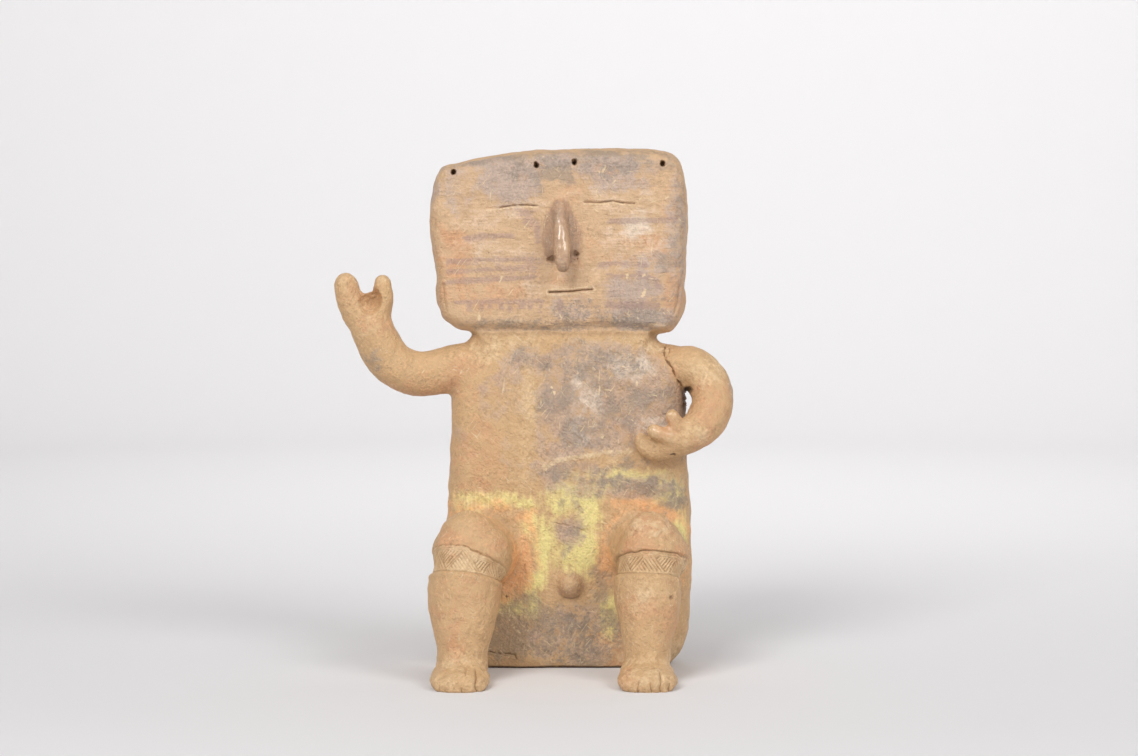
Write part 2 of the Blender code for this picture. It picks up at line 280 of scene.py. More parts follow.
for stations in (nose_pad, nose_flank, nose_ridge):
    lumps.append(roll(reaching(stations, HEAD_FRONT), ACROSS))
lumps.append(pellet((-110.5, 0, 325), (6.2, 9, 14)))
lumps.append(pellet((96.5, 0, 319), (6.4, 9, 14)))
lumps.append(pellet((KNOB[0], TORSO_FRONT, KNOB[1]), (11.5, 11, 11.5)))
print("lumps of clay so far:", len(lumps))

# %% [markdown]
# ## The arms
#
# One arm goes out, bends and ends in a fork of two lobes with a hollow palm. The other curls down and
# forward until its hand lies on the chest, with a thumb, a finger and a broad lower edge.

# %% Arms
ARM = 18.8
CHEST = -TORSO_FRONT
raised_arm = (
    (-70, 0, 263, ARM * 1.12, ARM * 1.2), (-96, 2, 259.5, ARM * 1.03, ARM * 1.14),
    (-112, 4, 256.6, ARM, ARM * 1.05),
    (-131, 7, 255.4, ARM, ARM * 1.02), (-147, 10, 260.4, ARM, ARM * 1.03), (-158.8, 12, 271, ARM, ARM * 1.02),
    (-166.5, 13, 285, ARM * 0.97, ARM * 0.98), (-172, 14, 298, ARM * 0.9, ARM * 0.98),
    (-176, 15, 311, ARM * 0.72, ARM * 1.14), (-177, 15, 320, ARM * 0.36, ARM * 0.92),
)
outer_lobe = ((-183, 15, 307, 11, 12), (-189.4, 16, 319, 11, 11.6), (-192.4, 17, 333, 10.2, 10.2))
inner_lobe = ((-167, 15, 307, 10.6, 12), (-161.8, 16, 320, 9.8, 9.8), (-161.4, 18, 334, 8.4, 8.4))
lowered_arm = (
    (70, 0, 264, ARM * 1.1, ARM * 1.1), (94, 3, 261.5, ARM, ARM * 0.99), (107.6, 7, 260, ARM, ARM * 0.99),
    (119, 13, 250.5, ARM, ARM * 0.98), (124.4, 20, 234, ARM, ARM * 0.97),
    (119.4, 0.4 * CHEST + 17, 218.4, ARM * 0.94, ARM * 0.94),
    (109.4, 0.8 * CHEST + 13, 208, ARM * 0.89, ARM * 0.88),
    (98, CHEST + 10, 200.8, ARM * 0.8, ARM * 0.8), (86, CHEST + 8, 196.6, ARM * 0.7, ARM * 0.7),
)
thumb = (
    (98, CHEST + 13, 203.5, 8.4, 8.4), (92.6, CHEST + 17, 213.2, 7.6, 7.6),
    (88.4, CHEST + 19, 221.6, 6.8, 6.6),
)
finger = (
    (99, CHEST + 13, 200, 8.6, 7.6), (88, CHEST + 18, 202.6, 8, 7), (79, CHEST + 19.5, 206.2, 7.2, 6.4),
    (72.8, CHEST + 18, 208.8, 6.4, 6.2),
)
lower_edge = (
    (97, CHEST + 7, 194.5, 9, 8.8), (84, CHEST + 8.5, 191.4, 9.4, 8.6), (72.5, CHEST + 7, 192, 9, 8.4),
    (65, CHEST + 5.5, 196.6, 8, 7.8), (60.5, CHEST + 2, 204.5, 6, 5.6),
)
for stations in (raised_arm, outer_lobe, inner_lobe, lowered_arm, thumb, finger, lower_edge):
    lumps.append(roll(reaching(stations), DEPTH))
print("lumps of clay with the arms:", len(lumps))

# %% [markdown]
# ## The legs
#
# Each leg is a short thigh that opens a little where it was smeared onto the slab, a round knee, a shin
# that leans forward, a swollen calf and a broad foot. The tight band below the knee comes later, as a
# step in the surface.

# %% Legs
REACH = 110.0
SHIN, FOOT_HALF = 27.5, 24.8


def leg(hip_x, knee_x, foot_x, knee, shin, calf, flare):
    """Thigh, shin and foot as three rolls. Knee, shin and calf are half widths. The thigh grows by the
    share flare from the knee to the slab."""
    bend = 0.32 * REACH
    lean = foot_x - knee_x
    spread = ((-20, 1.0), (-2, 0.62), (3, 0.36), (8, 0.17), (14, 0.05), (24, 0.0))
    thigh_rows = [
        (knee_x + (hip_x - knee_x) * s, reach, 102.4, knee * (1 + flare * s), knee * (0.955 + flare * s))
        for reach, s in spread
    ]
    thigh_rows += [(knee_x, bend, 103.6, knee, knee * 0.955)]
    middle = (shin + calf) / 2
    shin_rows = [
        (knee_x + lean * share, REACH * forward, z, across, deep)
        for share, forward, z, across, deep in (
            (0.3, 0.34, 118, shin * 0.9, shin * 0.9), (0.5, 0.36, 109, shin, shin),
            (0.6, 0.395, 99, shin, shin), (0.66, 0.42, 91, shin, shin * 0.98),
            (0.7, 0.435, 86, middle, middle), (0.72, 0.45, 79, calf, calf * 0.98),
            (0.75, 0.49, 62, calf * 0.95, calf * 0.93), (0.8, 0.53, 45, calf * 0.82, calf * 0.82),
            (0.86, 0.56, 27, calf * 0.69, calf * 0.74), (0.9, 0.575, 10, calf * 0.69, calf * 0.76),
            (0.9, 0.58, -4, calf * 0.69, calf * 0.76),
        )
    ]
    foot_rows = (
        (foot_x, REACH * 0.47, 5, FOOT_HALF * 0.7, 9), (foot_x, REACH * 0.6, 9, FOOT_HALF * 0.88, 14),
        (foot_x, REACH * 0.74, 8, FOOT_HALF * 0.98, 13), (foot_x, REACH * 0.86, 6, FOOT_HALF, 12),
        (foot_x, REACH * 0.905, 5, FOOT_HALF * 0.93, 11),
    )
    for stations, at_start in ((thigh_rows, False), (shin_rows, True), (foot_rows, True)):
        lumps.append(roll(reaching(stations, TORSO_FRONT), ACROSS, domes=(at_start, True)))


RIGHT_LEG = {
    "hip_x": -76, "knee_x": -82.6, "foot_x": -91,
    "knee": 33.6, "shin": SHIN, "calf": 31.2, "flare": 0.05,
}
LEFT_LEG = {
    "hip_x": 66.5, "knee_x": 70.8, "foot_x": 65.2,
    "knee": 30.8, "shin": SHIN * 0.94, "calf": 28.6, "flare": 0.16,
}
leg(**RIGHT_LEG)
leg(**LEFT_LEG)
print("lumps of clay in all:", len(lumps))

# %% [markdown]
# ## Pressing it together
#
# Wet clay welds where it touches. A voxel remesh does the same: it throws away what is inside and leaves
# one closed skin with even quads, and a few rounds of smoothing soften the joins as a wet thumb would.
# What reaches below the ground is pressed flat on it.

# %% Fuse the lumps into one skin
CELL = 2.3


def fused(bodies, cell, rounds):
    """One closed mesh around all bodies, of quads about cell parts wide, smoothed the given number of
    rounds."""
    offsets = np.cumsum([0] + [len(points) for points, faces in bodies])
    points = np.vstack([points for points, faces in bodies]) * PART
    faces = [tuple(i + start for i in face) for start, (_, body) in zip(offsets, bodies) for face in body]
    raw = bpy.data.meshes.new("lumps")
    raw.from_pydata(points, [], faces)
    thing = bpy.data.objects.new("lumps", raw)
    bpy.context.scene.collection.objects.link(thing)
    weld = thing.modifiers.new("weld", "REMESH")
    weld.mode = "VOXEL"
    weld.voxel_size = cell * PART
    soften = thing.modifiers.new("soften", "SMOOTH")
    soften.factor = 0.5
    soften.iterations = rounds
    ready = thing.evaluated_get(bpy.context.evaluated_depsgraph_get())
    mesh = bpy.data.meshes.new_from_object(ready)
    bpy.data.objects.remove(thing)
    bpy.data.meshes.remove(raw)
    return mesh


def points_of(mesh):
    """All points, in parts."""
    flat = np.empty(len(mesh.vertices) * 3)
    mesh.vertices.foreach_get("co", flat)
    return flat.reshape(-1, 3) / PART


def move_points(mesh, points):
    """Puts the points, in parts, back into the mesh."""
    mesh.vertices.foreach_set("co", (points * PART).ravel())
    mesh.update()


def normals_of(mesh):
    """Outward direction at every point."""
    flat = np.empty(len(mesh.vertices) * 3)
    mesh.vertices.foreach_get("normal", flat)
    return flat.reshape(-1, 3)


clay = fused(lumps, CELL, 5)
grounded = points_of(clay)
grounded[:, 2] = np.maximum(grounded[:, 2], 0)
move_points(clay, grounded)
print("fused skin:", len(clay.vertices), "points,", len(clay.polygons), "quads")

# %% [markdown]
# ## Ridges and hollows
#
# The finish paints shade and dirt into hollows and rubs ridges pale, so it has to know which is which.
# Each point is compared with the mean of its neighbours: it lies outside that mean on a ridge and inside
# it in a hollow. The number is stored on the skin before the skin is split further.

# %% How far each point stands proud of its surroundings


def proudness(mesh, rounds):
    """Distance of each point beyond its place after the given rounds of averaging with its neighbours,
    measured along its normal."""
    pairs = np.empty(len(mesh.edges) * 2, int)
    mesh.edges.foreach_get("vertices", pairs)
    a, b = pairs.reshape(-1, 2).T
    start = points_of(mesh)
    count = np.bincount(a, minlength=len(start)) + np.bincount(b, minlength=len(start))
    smooth = start.copy()
    for _ in range(rounds):
        to_a = np.stack([np.bincount(a, smooth[b, k], len(start)) for k in range(3)], 1)
        to_b = np.stack([np.bincount(b, smooth[a, k], len(start)) for k in range(3)], 1)
        smooth = 0.5 * smooth + 0.5 * (to_a + to_b) / count[:, None]
    return ((start - smooth) * normals_of(mesh)).sum(1)


proud = proudness(clay, 24)
clay.attributes.new("proud", "FLOAT", "POINT").data.foreach_set("value", proud.astype(np.float32))
print("hollows to", round(proud.min(), 2), "and ridges to", round(proud.max(), 2), "parts")

# %% [markdown]
# ## Where the tools worked, more points
#
# A slit pressed with a blade is a millimetre wide, finer than the quads. So the mesh is split only where
# something fine happens: over the whole face and the hands once, and again at the slits, holes, bands,
# toes and the break.

# %% Marks that are measured from the front
EYES = (
    ((-71, 399.0), (-60, 399.6), (-48, 401.6), (-36, 402.0), (-27, 401.2)),
    ((13, 404.4), (26, 404.0), (38, 405.4), (46, 403.8), (56, 403.2)),
)
MOUTH = ((-17, 327.0), (-8, 327.2), (2, 327.7), (11, 328.8), (20, 329.3))
HOLES = ((-99, 429.7), (-27.8, 436.0), (4.8, 438.4), (80.6, 437.2))
NOSTRILS = ((-14.6, 355.4, 5.8, 4.0), (5.6, 359.8, 3.6, 3.8))
BREAK = ((83.8, 281), (82.8, 273.5), (83.8, 268.7), (89.2, 261.7), (92.4, 253.2), (97.7, 245.7), (102, 243))
BREAK_SPUR = ((87.2, 281), (87.5, 276.7), (85.4, 273.5), (83.8, 268.7))
FOOT_CRACK = ((-72, 15.4), (-61.6, 13), (-52, 12.9), (-46.9, 12.1), (-45.3, 7.8))
BELLY_CRACK = ((-13, 127.4), (-2.6, 125.6), (10.4, 121.3), (20.8, 116.5))
HIP_CRACK = ((-38.1, 90.8), (-40.7, 82.1))
LOW_CRACK = ((4.6, 46), (7.4, 35), (7.9, 22), (9.6, 10))
EAR_CREASES = (((-108.6, 333), (-107.4, 322), (-105.6, 309)), ((95.6, 331), (94.4, 319), (91.6, 308)))
TOE_MARKS = (
    (-106.7, 0.7, -1, 5), (-88, 1.2, -1, 3.5), (-85.5, 0.8, 13, 20), (-76.3, 1.9, -1, 18),
    (56.8, 1.3, -1, 9), (67.2, 1.0, -1, 8), (75.3, 1.5, -1, 15), (82.6, 1.0, -1, 7),
)


def off_line(points, line):
    """Distance from each point to the nearest straight stretch of the line, as seen from the front."""
    x, z = points[:, 0], points[:, 2]
    nearest = np.full(len(points), np.inf)
    for (ax, az), (bx, bz) in zip(line, line[1:]):
        share = ((x - ax) * (bx - ax) + (z - az) * (bz - az)) / ((bx - ax) ** 2 + (bz - az) ** 2)
        share = np.clip(share, 0, 1)
        nearest = np.minimum(nearest, np.hypot(x - ax - share * (bx - ax), z - az - share * (bz - az)))
    return nearest


def off_spot(points, x, z):
    """Distance from each point to a spot, as seen from the front."""
    return np.hypot(points[:, 0] - x, points[:, 2] - z)


def step(value, low, high):
    """0 below low, 1 above high, and the smooth cubic 3t^2 - 2t^3 between."""
    t = np.clip((value - low) / (high - low), 0, 1)
    return t * t * (3 - 2 * t)


print("a quarter of the way up, the step is at", step(0.25, 0, 1))

# %% [markdown]
# ## The bands below the knees
#
# A band is bounded by two slanted planes. They are square to the leaning shin, so their front edge stands
# higher than their sides. Everything on a band is measured with two numbers: how far along the band a
# point is, and how far it is round the shin.

# %% Coordinates on the bands
BANDS = (
    {"leg": RIGHT_LEG, "upper": (101.9, -0.27, 0.45), "lower": (86.2, -0.1, 0.29), "lip": 0.9},
    {"leg": LEFT_LEG, "upper": (102.7, -0.02, 0.34), "lower": (86.6, -0.06, 0.25), "lip": 1.2},
)
SHIN_REACH_BY_HEIGHT = ((10, 27, 45, 62, 79, 99, 118), (0.575, 0.56, 0.53, 0.49, 0.45, 0.395, 0.34))


def on_band(points, band):
    """For every point: height above the band's upper plane, height above its lower plane, distance round
    the shin from the front, the outward direction from the shin's axis, and how surely the point is on
    that shin."""
    leg_at = band["leg"]
    x, y, z = points.T
    axis_x = leg_at["knee_x"] + (leg_at["foot_x"] - leg_at["knee_x"]) * np.interp(z, (79, 118), (0.72, 0.3))
    axis_y = TORSO_FRONT - REACH * np.interp(z, *SHIN_REACH_BY_HEIGHT)
    dx, dy = x - axis_x, y - axis_y
    above_upper = z - (band["upper"][0] + band["upper"][1] * dx - band["upper"][2] * dy)
    above_lower = z - (band["lower"][0] + band["lower"][1] * dx - band["lower"][2] * dy)
    far = np.hypot(dx, dy)
    around = leg_at["shin"] * np.arctan2(dx, -dy)
    outward = np.stack([dx / far, dy / far, 0 * far], 1)
    sure = step(leg_at["shin"] + 9 - far, 0, 5) * (y < -36) * (z > 60) * (z < 134)
    return above_upper, above_lower, around, outward, sure


for band in BANDS:
    print("a band from height", band["lower"][0], "to", band["upper"][0])

# %% Split the mesh where it has to be fine


def refine(mesh, chosen):
    """Halves every edge whose two ends are both chosen, so that a quad of chosen points becomes four."""
    work = bmesh.new()
    work.from_mesh(mesh)
    edges = [edge for edge in work.edges if chosen[edge.verts[0].index] and chosen[edge.verts[1].index]]
    bmesh.ops.subdivide_edges(work, edges=edges, cuts=1, use_grid_fill=True)
    work.to_mesh(mesh)
    work.free()


def fine_places(points, margin):
    """The points within the margin of a slit, hole, nostril, band, toe mark, crack or the break."""
    x, y, z = points.T
    face = (z > 294) & (y < HEAD_FRONT + 6)
    chosen = np.zeros(len(points), bool)
    for line in (*EYES, MOUTH):
        chosen |= face & (off_line(points, line) < 2.0 + margin)
    for line in EAR_CREASES:
        chosen |= (z > 300) & (z < 340) & (off_line(points, line) < 1.6 + margin)
    for hole_x, hole_z in HOLES:
        chosen |= face & (off_spot(points, hole_x, hole_z) < 3.8 + margin)
    for pit_x, pit_z, *_ in NOSTRILS:
        chosen |= (y < HEAD_FRONT) & (off_spot(points, pit_x, pit_z) < 5.5 + margin)
    for band in BANDS:
        above_upper, above_lower, around, outward, sure = on_band(points, band)
        between = (above_upper < 2 + margin) & (above_lower > -2 - margin)
        chosen |= (sure > 0) & between & (np.abs(around) < 50)
    for toe_x, _, low, high in TOE_MARKS:
        chosen |= (np.abs(x - toe_x) < 1.6 + margin) & (y < -112) & (z < high + 3) & (z > low - 3)
    for line in (BREAK, BREAK_SPUR):
        chosen |= (x > 78) & (y < 8) & (off_line(points, line) < 1.6 + margin)
    for line in (FOOT_CRACK, BELLY_CRACK, HIP_CRACK, LOW_CRACK):
        chosen |= (y < -14) & (y > -36) & (off_line(points, line) < 1.2 + margin)
    return chosen


coarse = points_of(clay)
whole_face = (coarse[:, 2] > 290) & (coarse[:, 1] < HEAD_FRONT + 5) & (coarse[:, 0] > -125)
hands = (coarse[:, 0] < -150) & (coarse[:, 2] > 300)
hands |= (coarse[:, 0] > 50) & (coarse[:, 1] < -32) & (coarse[:, 2] > 175) & (coarse[:, 2] < 240)
refine(clay, whole_face | hands | fine_places(coarse, 2.6))
refine(clay, fine_places(points_of(clay), 0.5))
print("refined skin:", len(clay.vertices), "points")

# %% [markdown]
# ## Tool marks
#
# Every mark is a small move of the skin, in or out. A pressed line has a rounded bottom and pushes up a
# low burr on either side, so its cross-section is worked out once and used for the eyes, the mouth, the
# hatching on the bands and the toes. Broad waves give the uneven surface of hand work.

# %% Cross-sections and waves


def groove(distance, half_width, depth, burr=0.0):
    """Height beside a pressed line: -depth at the line, 0 at half_width, then a burr shaped like a
    bell."""
    inside = np.clip(1 - distance / half_width, 0, 1)
    return burr * np.exp(-(((distance - 1.7 * half_width) / (0.7 * half_width)) ** 2)) - depth * inside**0.7


def waves(length, seed, count=28):
    """A smooth random number for every point of the skin, with a spread of 1: the sum of sine waves of
    about the given length, each with its own direction and phase."""
    pick = np.random.default_rng(seed)
    direction = pick.normal(size=(count, 3))
    direction /= (np.linalg.norm(direction, axis=1) * (length * pick.uniform(0.7, 1.6, count)))[:, None]
    phase = pick.uniform(0, 2 * math.pi, count)
    total = np.zeros(len(skin_points))
    for k in range(count):
        total += np.sin(skin_points @ direction[k] * 2 * math.pi + phase[k])
    return total / math.sqrt(count / 2)


skin_points = points_of(clay)
skin_normals = normals_of(clay)
x, y, z = skin_points.T
proud = np.empty(len(x))
clay.attributes["proud"].data.foreach_get("value", proud)
# Hollows are later painted darker, as shade and dirt.
hollow_shade_and_dirt = step(-proud, 0.15, 1.6)
facing_front = step(-skin_normals[:, 1], 0.15, 0.55)
head_skin = (z > 293) & (x > -125)
face_skin = facing_front * head_skin * (y < HEAD_FRONT + 4)
height = np.zeros(len(x))
# How dark each point is painted: as shade in grooves, pits, holes and under ledges, and as dirt.
shade_and_dirt = np.zeros(len(x))
shift = np.zeros((len(x), 3))


def darken(amount):
    """Raises the painted shade and dirt of every point to at least that amount."""
    np.maximum(shade_and_dirt, amount, out=shade_and_dirt)


def press(where, apart, half_width, depth, burr, dark, edge, amount):
    """Presses a line into the skin where the mask holds, and darkens the points within the distance dark of
    it with painted shade and dirt."""
    global height
    height += where * groove(apart, half_width, depth, burr)
    darken(where * amount * step(dark - apart, 0.0, edge))


print("points on the face:", int((face_skin > 0).sum()))

# %% Hand-smoothed unevenness
height += 0.42 * waves(48, 1) + 0.2 * waves(17, 2) + 0.09 * waves(7, 3)
left_knee = np.exp(-(((x - 70) / 30) ** 2 + ((z - 128) / 14) ** 2)) * (y < -48)
folds = np.exp(-((waves(15, 4) / 0.32) ** 2))
height += left_knee * (1.5 * folds - 0.6 + 0.5 * waves(7, 5))
feet = (z < 26) * (y < -80)
height += feet * 0.3 * waves(9, 14)
collar = (y > -50) * (y < -24) * (z > 60) * (z < 165)
height += collar * 0.25 * waves(8, 15) * step(np.abs(x), 20, 40)
print("unevenness from", round(height.min(), 2), "to", round(height.max(), 2), "parts")

# %% Eyes, mouth, nostrils and holes
# Each pressed line is painted darker inside, as shade and dirt in the groove.
rims = np.zeros(len(x))
for line in EYES:
    apart = off_line(skin_points, line) + 0.12 * waves(5, 16)
    taper = step(x, line[0][0] + 4, line[0][0] + 16) if line is EYES[0] else 1.0
    press(face_skin, apart, 0.95, 1.5 * (0.3 + 0.7 * taper), 0.3, 0.75, 0.55, 0.66 * taper)
    under_line = off_line(skin_points + (0, 0, 1.7), line)
    rims = np.maximum(rims, face_skin * step(1.0 - under_line, 0, 0.8))
mouth_gap = off_line(skin_points, MOUTH)
mouth_half = 1.25 - 0.35 * step(x, -14, 12)
rims = np.maximum(rims, 0.8 * face_skin * step(-np.abs(mouth_gap - 2.4), -1.5, -0.5))
press(face_skin, mouth_gap, mouth_half, 2.4, 0.55, mouth_half - 0.25, 0.5, 0.85)
for line in EAR_CREASES:
    apart = off_line(skin_points, line) + 0.3 * waves(6, 13)
    crease = step(-skin_normals[:, 1], -0.2, 0.3) * head_skin
    press(crease, apart, 1.5, 0.9, 0.25, 1.0, 0.8, 0.3)
for pit_x, pit_z, half_x, half_z in NOSTRILS:
    inside = 1 - np.hypot((x - pit_x) / half_x, (z - pit_z) / half_z) + 0.12 * waves(5, 17)
    inside *= (y < HEAD_FRONT + 2)
    shift += np.array((0, 3.0, 1.2)) * step(inside, 0, 0.8)[:, None]
    # The nostril pits are painted darker: painted shade in the pits.
    darken(0.42 * step(inside, 0.0, 0.7))
for hole_x, hole_z in HOLES:
    ragged = 0.2 * waves(4, 6)
    inside = 2.7 + ragged - np.hypot(x - hole_x, (z - hole_z) / 1.12)
    height += face_skin * 0.25 * np.exp(-(((inside + 0.8) / 0.8) ** 2))
    shift[:, 1] += face_skin * 9.0 * step(inside, 0.0, 1.5)
    # Each hole is painted dark inside as shade, with its lower right wall left lighter as painted light.
    lit_wall = 0.3 * (x - hole_x) - 0.25 * (z - hole_z)
    darken(face_skin * step(inside - lit_wall, 0.3, 1.9))
print("the mouth is pressed to", round(float(-height.min()), 2), "parts")

# %% The hollow of the raised palm
PALM, PALM_RADII = (-171.4, -30, 320), (10.8, 14, 12.5)
inside = 1 - ((x - PALM[0]) / PALM_RADII[0]) ** 2 - ((z - PALM[2]) / PALM_RADII[2]) ** 2
wall = PALM[1] + PALM_RADII[1] * np.sqrt(np.clip(inside, 0, 1))
pressed = (inside > 0) & (y < wall) & (y > -45)
shift[:, 1] += np.where(pressed, wall - y, 0)
palm_hollow = step(inside, -0.1, 0.4) * (y < -6)
# The palm's hollow is painted darker, most in its upper part: painted shade inside the hollow.
palm_shade = palm_hollow * (0.25 + 0.75 * step(z + 0.25 * (x + 171), 311, 321))
height += palm_hollow * 0.3 * waves(5, 18)
print("points pressed into the palm:", int(pressed.sum()))

# %% The bands and their hatching
HATCH_GAP, HATCH_SLOPE, ZIGZAG = 2.5, 0.85, 30.0
band_skin = np.zeros(len(x))
band_lines = np.zeros(len(x))
for band in BANDS:
    above_upper, above_lower, around, outward, sure = on_band(skin_points, band)
    front = sure * step(0.85 - skin_normals[:, 1], 0, 0.3)
    uneven = 0.5 * waves(11, 19)
    above_upper = above_upper + uneven
    on = front * step(-above_upper, -0.2, 0.5) * step(above_lower, -0.2, 0.5)
    flush = 0.3 + 0.7 * step(around, -14, 10) if band["leg"] is RIGHT_LEG else 1.0
    lip = flush * front * np.exp(-(((above_upper - 2.4) / 2.6) ** 2)) * (above_upper > -0.5)
    seam = flush * front * np.exp(-((above_upper + 0.5) ** 2) / 0.7)
    lower_seam = front * np.exp(-((above_lower - 0.3) ** 2) / 0.35)
    rim = front * np.exp(-(((above_lower + 2.6) / 2.2) ** 2)) * step(-above_lower, -0.2, 1.2)
    radial = band["lip"] * (lip - 0.9 * seam) + 1.3 * rim - 0.8 * on - 0.7 * lower_seam
    share = above_lower / np.maximum(above_lower - above_upper, 1)
    zigzag = np.abs((around / ZIGZAG) % 1 * 2 - 1)
    lean = np.where(share < zigzag, 1.0, -1.0)
    across = (around * lean + above_lower * HATCH_SLOPE) / math.hypot(1, HATCH_SLOPE)
    stroke = np.abs((across / HATCH_GAP) % 1 - 0.5) * HATCH_GAP
    border = np.abs(share - zigzag) * ZIGZAG * 0.4
    edge_line = np.minimum(np.abs(above_upper + 2.6), np.abs(above_upper + 4.2))
    drawn = on * step(-above_upper, 4.4, 5.4) * step(above_lower, 1.5, 2.5)
    worn = 0.7 + 0.3 * step(waves(14, 7), -1.3, 0.2)
    lines = drawn * np.minimum(groove(stroke, 0.7, 0.85), groove(border, 0.6, 0.7))
    lines = np.minimum(lines, on * groove(edge_line, 0.6, 0.6))
    radial += worn * lines
    shift += outward * radial[:, None]
    band_skin = np.maximum(band_skin, on)
    band_lines = np.maximum(band_lines, np.clip(-lines * worn, 0, 1))
    # Painted shadow under the band's upper lip and in its lower seam.
    darken(0.3 * band["lip"] * np.clip(seam, 0, 1) + 0.4 * np.clip(lower_seam, 0, 1))
print("points on the bands:", int((band_skin > 0.5).sum()), "and in a stroke:", int((band_lines > 0.3).sum()))

# %% Toes, cracks and the break at the shoulder
# Toe marks, the break and the cracks are painted darker inside, as shade and dirt.
for toe_x, depth, low, high in TOE_MARKS:
    apart = np.abs(x - toe_x + 0.5 * np.sin(z * 0.5 + toe_x))
    reach_of_mark = step(-y, 116, 124) * step(z, low - 1, low + 1) * step(-z, -high - 2, -high + 1)
    press(reach_of_mark, apart, 1.7, depth, 0.3, 1.0, 0.9, 0.55 * min(depth, 1))
break_skin = (x > 78) * (y < 8) * step(-skin_normals[:, 1], -0.4, 0.1)
for line, half_width, depth in ((BREAK, 0.8, 1.7), (BREAK_SPUR, 0.6, 0.9)):
    apart = off_line(skin_points, line) + 0.35 * waves(5, 8)
    press(break_skin, apart, half_width, depth, 0.35, half_width, 0.7, 0.6)
chip = np.sqrt((x - 84.5) ** 2 + (y + 17) ** 2 + (z - 276) ** 2) + waves(5, 9)
height -= 1.8 * step(6 - chip, 0, 3)
# The slit between the arm and the body is painted dark: painted shade between the parts.
slit_edge = np.exp(-((x - 100.5) ** 2 / 8 + (z - 232) ** 2 / 110)) * (y < 8) * (y > -26)
height += slit_edge * 1.3 * waves(5, 10)
darken(slit_edge * step(103 - x, 0, 1.5))
slit_top = np.exp(-((((x - 103.2) / 3.4) ** 2 + ((z - 242.4) / 2.9) ** 2) ** 2)) * (y < 12)
shift[:, 1] += 4.0 * slit_top * (y < -2)
darken(1.4 * slit_top)
body_front = facing_front * (z < 290) * (y > -36)
CRACKS = ((FOOT_CRACK, 0.7, 1.2), (BELLY_CRACK, 0.6, 0.5), (HIP_CRACK, 0.6, 0.7), (LOW_CRACK, 0.55, 0.45))
for line, half_width, depth in CRACKS:
    apart = off_line(skin_points, line) + 0.35 * waves(4, 11)
    press(body_front, apart, half_width, depth, 0.15, half_width, 0.6, 0.5 * min(depth, 1))
print("toe marks and cracks:", len(TOE_MARKS) + len(CRACKS))

# %% Painted shadow lines under the slab, the knob and the jaw, and painted shade on the nose
# A dark line along the slab's lower edge is painted contact shadow.
turned_under = step(-np.abs(skin_normals[:, 2]), -0.985, -0.95)
darken(1.5 * turned_under * (y > -36) * step(-z, -2.6, -1.3))
# The shade and dirt round the knob are thinned, and a thin painted shadow is laid under its lower edge.
KNOB_FOOT = 11.9
from_knob = np.hypot(x - KNOB[0], z - KNOB[1])
around_knob = (y < -20) * (y > -38)
shade_and_dirt *= 1 - 0.75 * np.exp(-(((from_knob - 12) / 3) ** 2)) * around_knob
knob_foot = np.exp(-(((from_knob - KNOB_FOOT) / 0.9) ** 2)) * around_knob
darken(0.6 * knob_foot * step(KNOB[1] - z, 5, 10))
# Painted shadow on the neck just under the jaw.
darken(0.34 * facing_front * (np.abs(x) < 100) * (z < 293) * step(z, 286.5, 290.5))
# Painted shade in the creases beside the nose ridge and under the nose tip.
nose_skin = (y < HEAD_FRONT - 6) * head_skin
beside_ridge = step(1.7 - np.abs(np.abs(x + 6.3) - 6.0), 0, 1.3)
darken(0.3 * nose_skin * beside_ridge * step(z, 350, 356) * step(-z, -396, -386))
darken(0.36 * nose_skin * step(-z, -352.5, -346))
print("dirt goes up to", round(float(shade_and_dirt.max()), 2))

# %% Small pits and nicks all over
PITS = (
    (-68.8, 360.7, 1.5, 0.9), (-94.7, 328, 1.8, 0.7), (85.5, 73.6, 2.6, 1.2), (66.2, 69.3, 1.2, 0.8),
    (-98.9, 49.7, 1.6, 0.5), (-53.8, 62.9, 2.2, 1.4), (7.2, 355.6, 1.1, 0.9), (-46, 118, 1.2, 0.4),
    (-38, 84, 1.3, 0.6), (92.8, 266, 2.4, 0.5), (-191, 323, 0.9, 0.6), (88.9, 187.4, 3.4, 1.8, 2.4),
)
for pit_x, pit_z, radius, depth, *flat in PITS:
    flatness = flat[0] if flat else 1.0
    apart = np.hypot((x - pit_x) / radius, (z - pit_z) / radius * flatness)
    inside = 1 - apart + 0.2 * waves(4, 20)
    mark = step(inside, 0, 0.7) * (skin_normals[:, 1] < -0.1)
    height -= depth * mark
    # Each pit is painted darker inside: painted shade and dirt.
    darken(mark * min(0.55 * depth + 0.15, 1.1))
pick = np.random.default_rng(21)
for spot in skin_points[pick.integers(0, len(x), 170)]:
    radius, depth = pick.uniform(0.9, 2.2), pick.uniform(0.2, 0.8)
    apart = np.linalg.norm(skin_points - spot, axis=1)
    height -= depth * np.clip(1 - (apart / radius) ** 2, 0, 1)
BELLY_STREAK = ((-20.6, 175.1), (-11.6, 181.1), (12.2, 185.5), (33, 188.5), (52, 189.3))
streak_half = 3.8 + 0.8 * waves(9, 22)
streak = body_front * step(streak_half - off_line(skin_points, BELLY_STREAK), 0, 2.5)
height += 0.6 * streak * (1 + 0.4 * waves(6, 12))

moved = skin_points + skin_normals * height[:, None] + shift
on_ground = skin_points[:, 2] < 0.05
moved[:, 2] = np.where(on_ground, 0.0, np.maximum(moved[:, 2], 0.0))
move_points(clay, moved)
print("marks are up to", round(float(-height.min()), 2), "parts deep")

# %% [markdown]
# ## Maps for the colours
#
# Paint and fire clouds lie in known places. Each colour gets one number at every point of the skin: the
# distance inside the edge of its nearest patch, in parts, and negative outside. The material later adds
# noise of a few parts to that number before it cuts it off at 0, so that the edge is as ragged as worn
# paint.

# %% Patches, lines and rings
FAR = -30.0


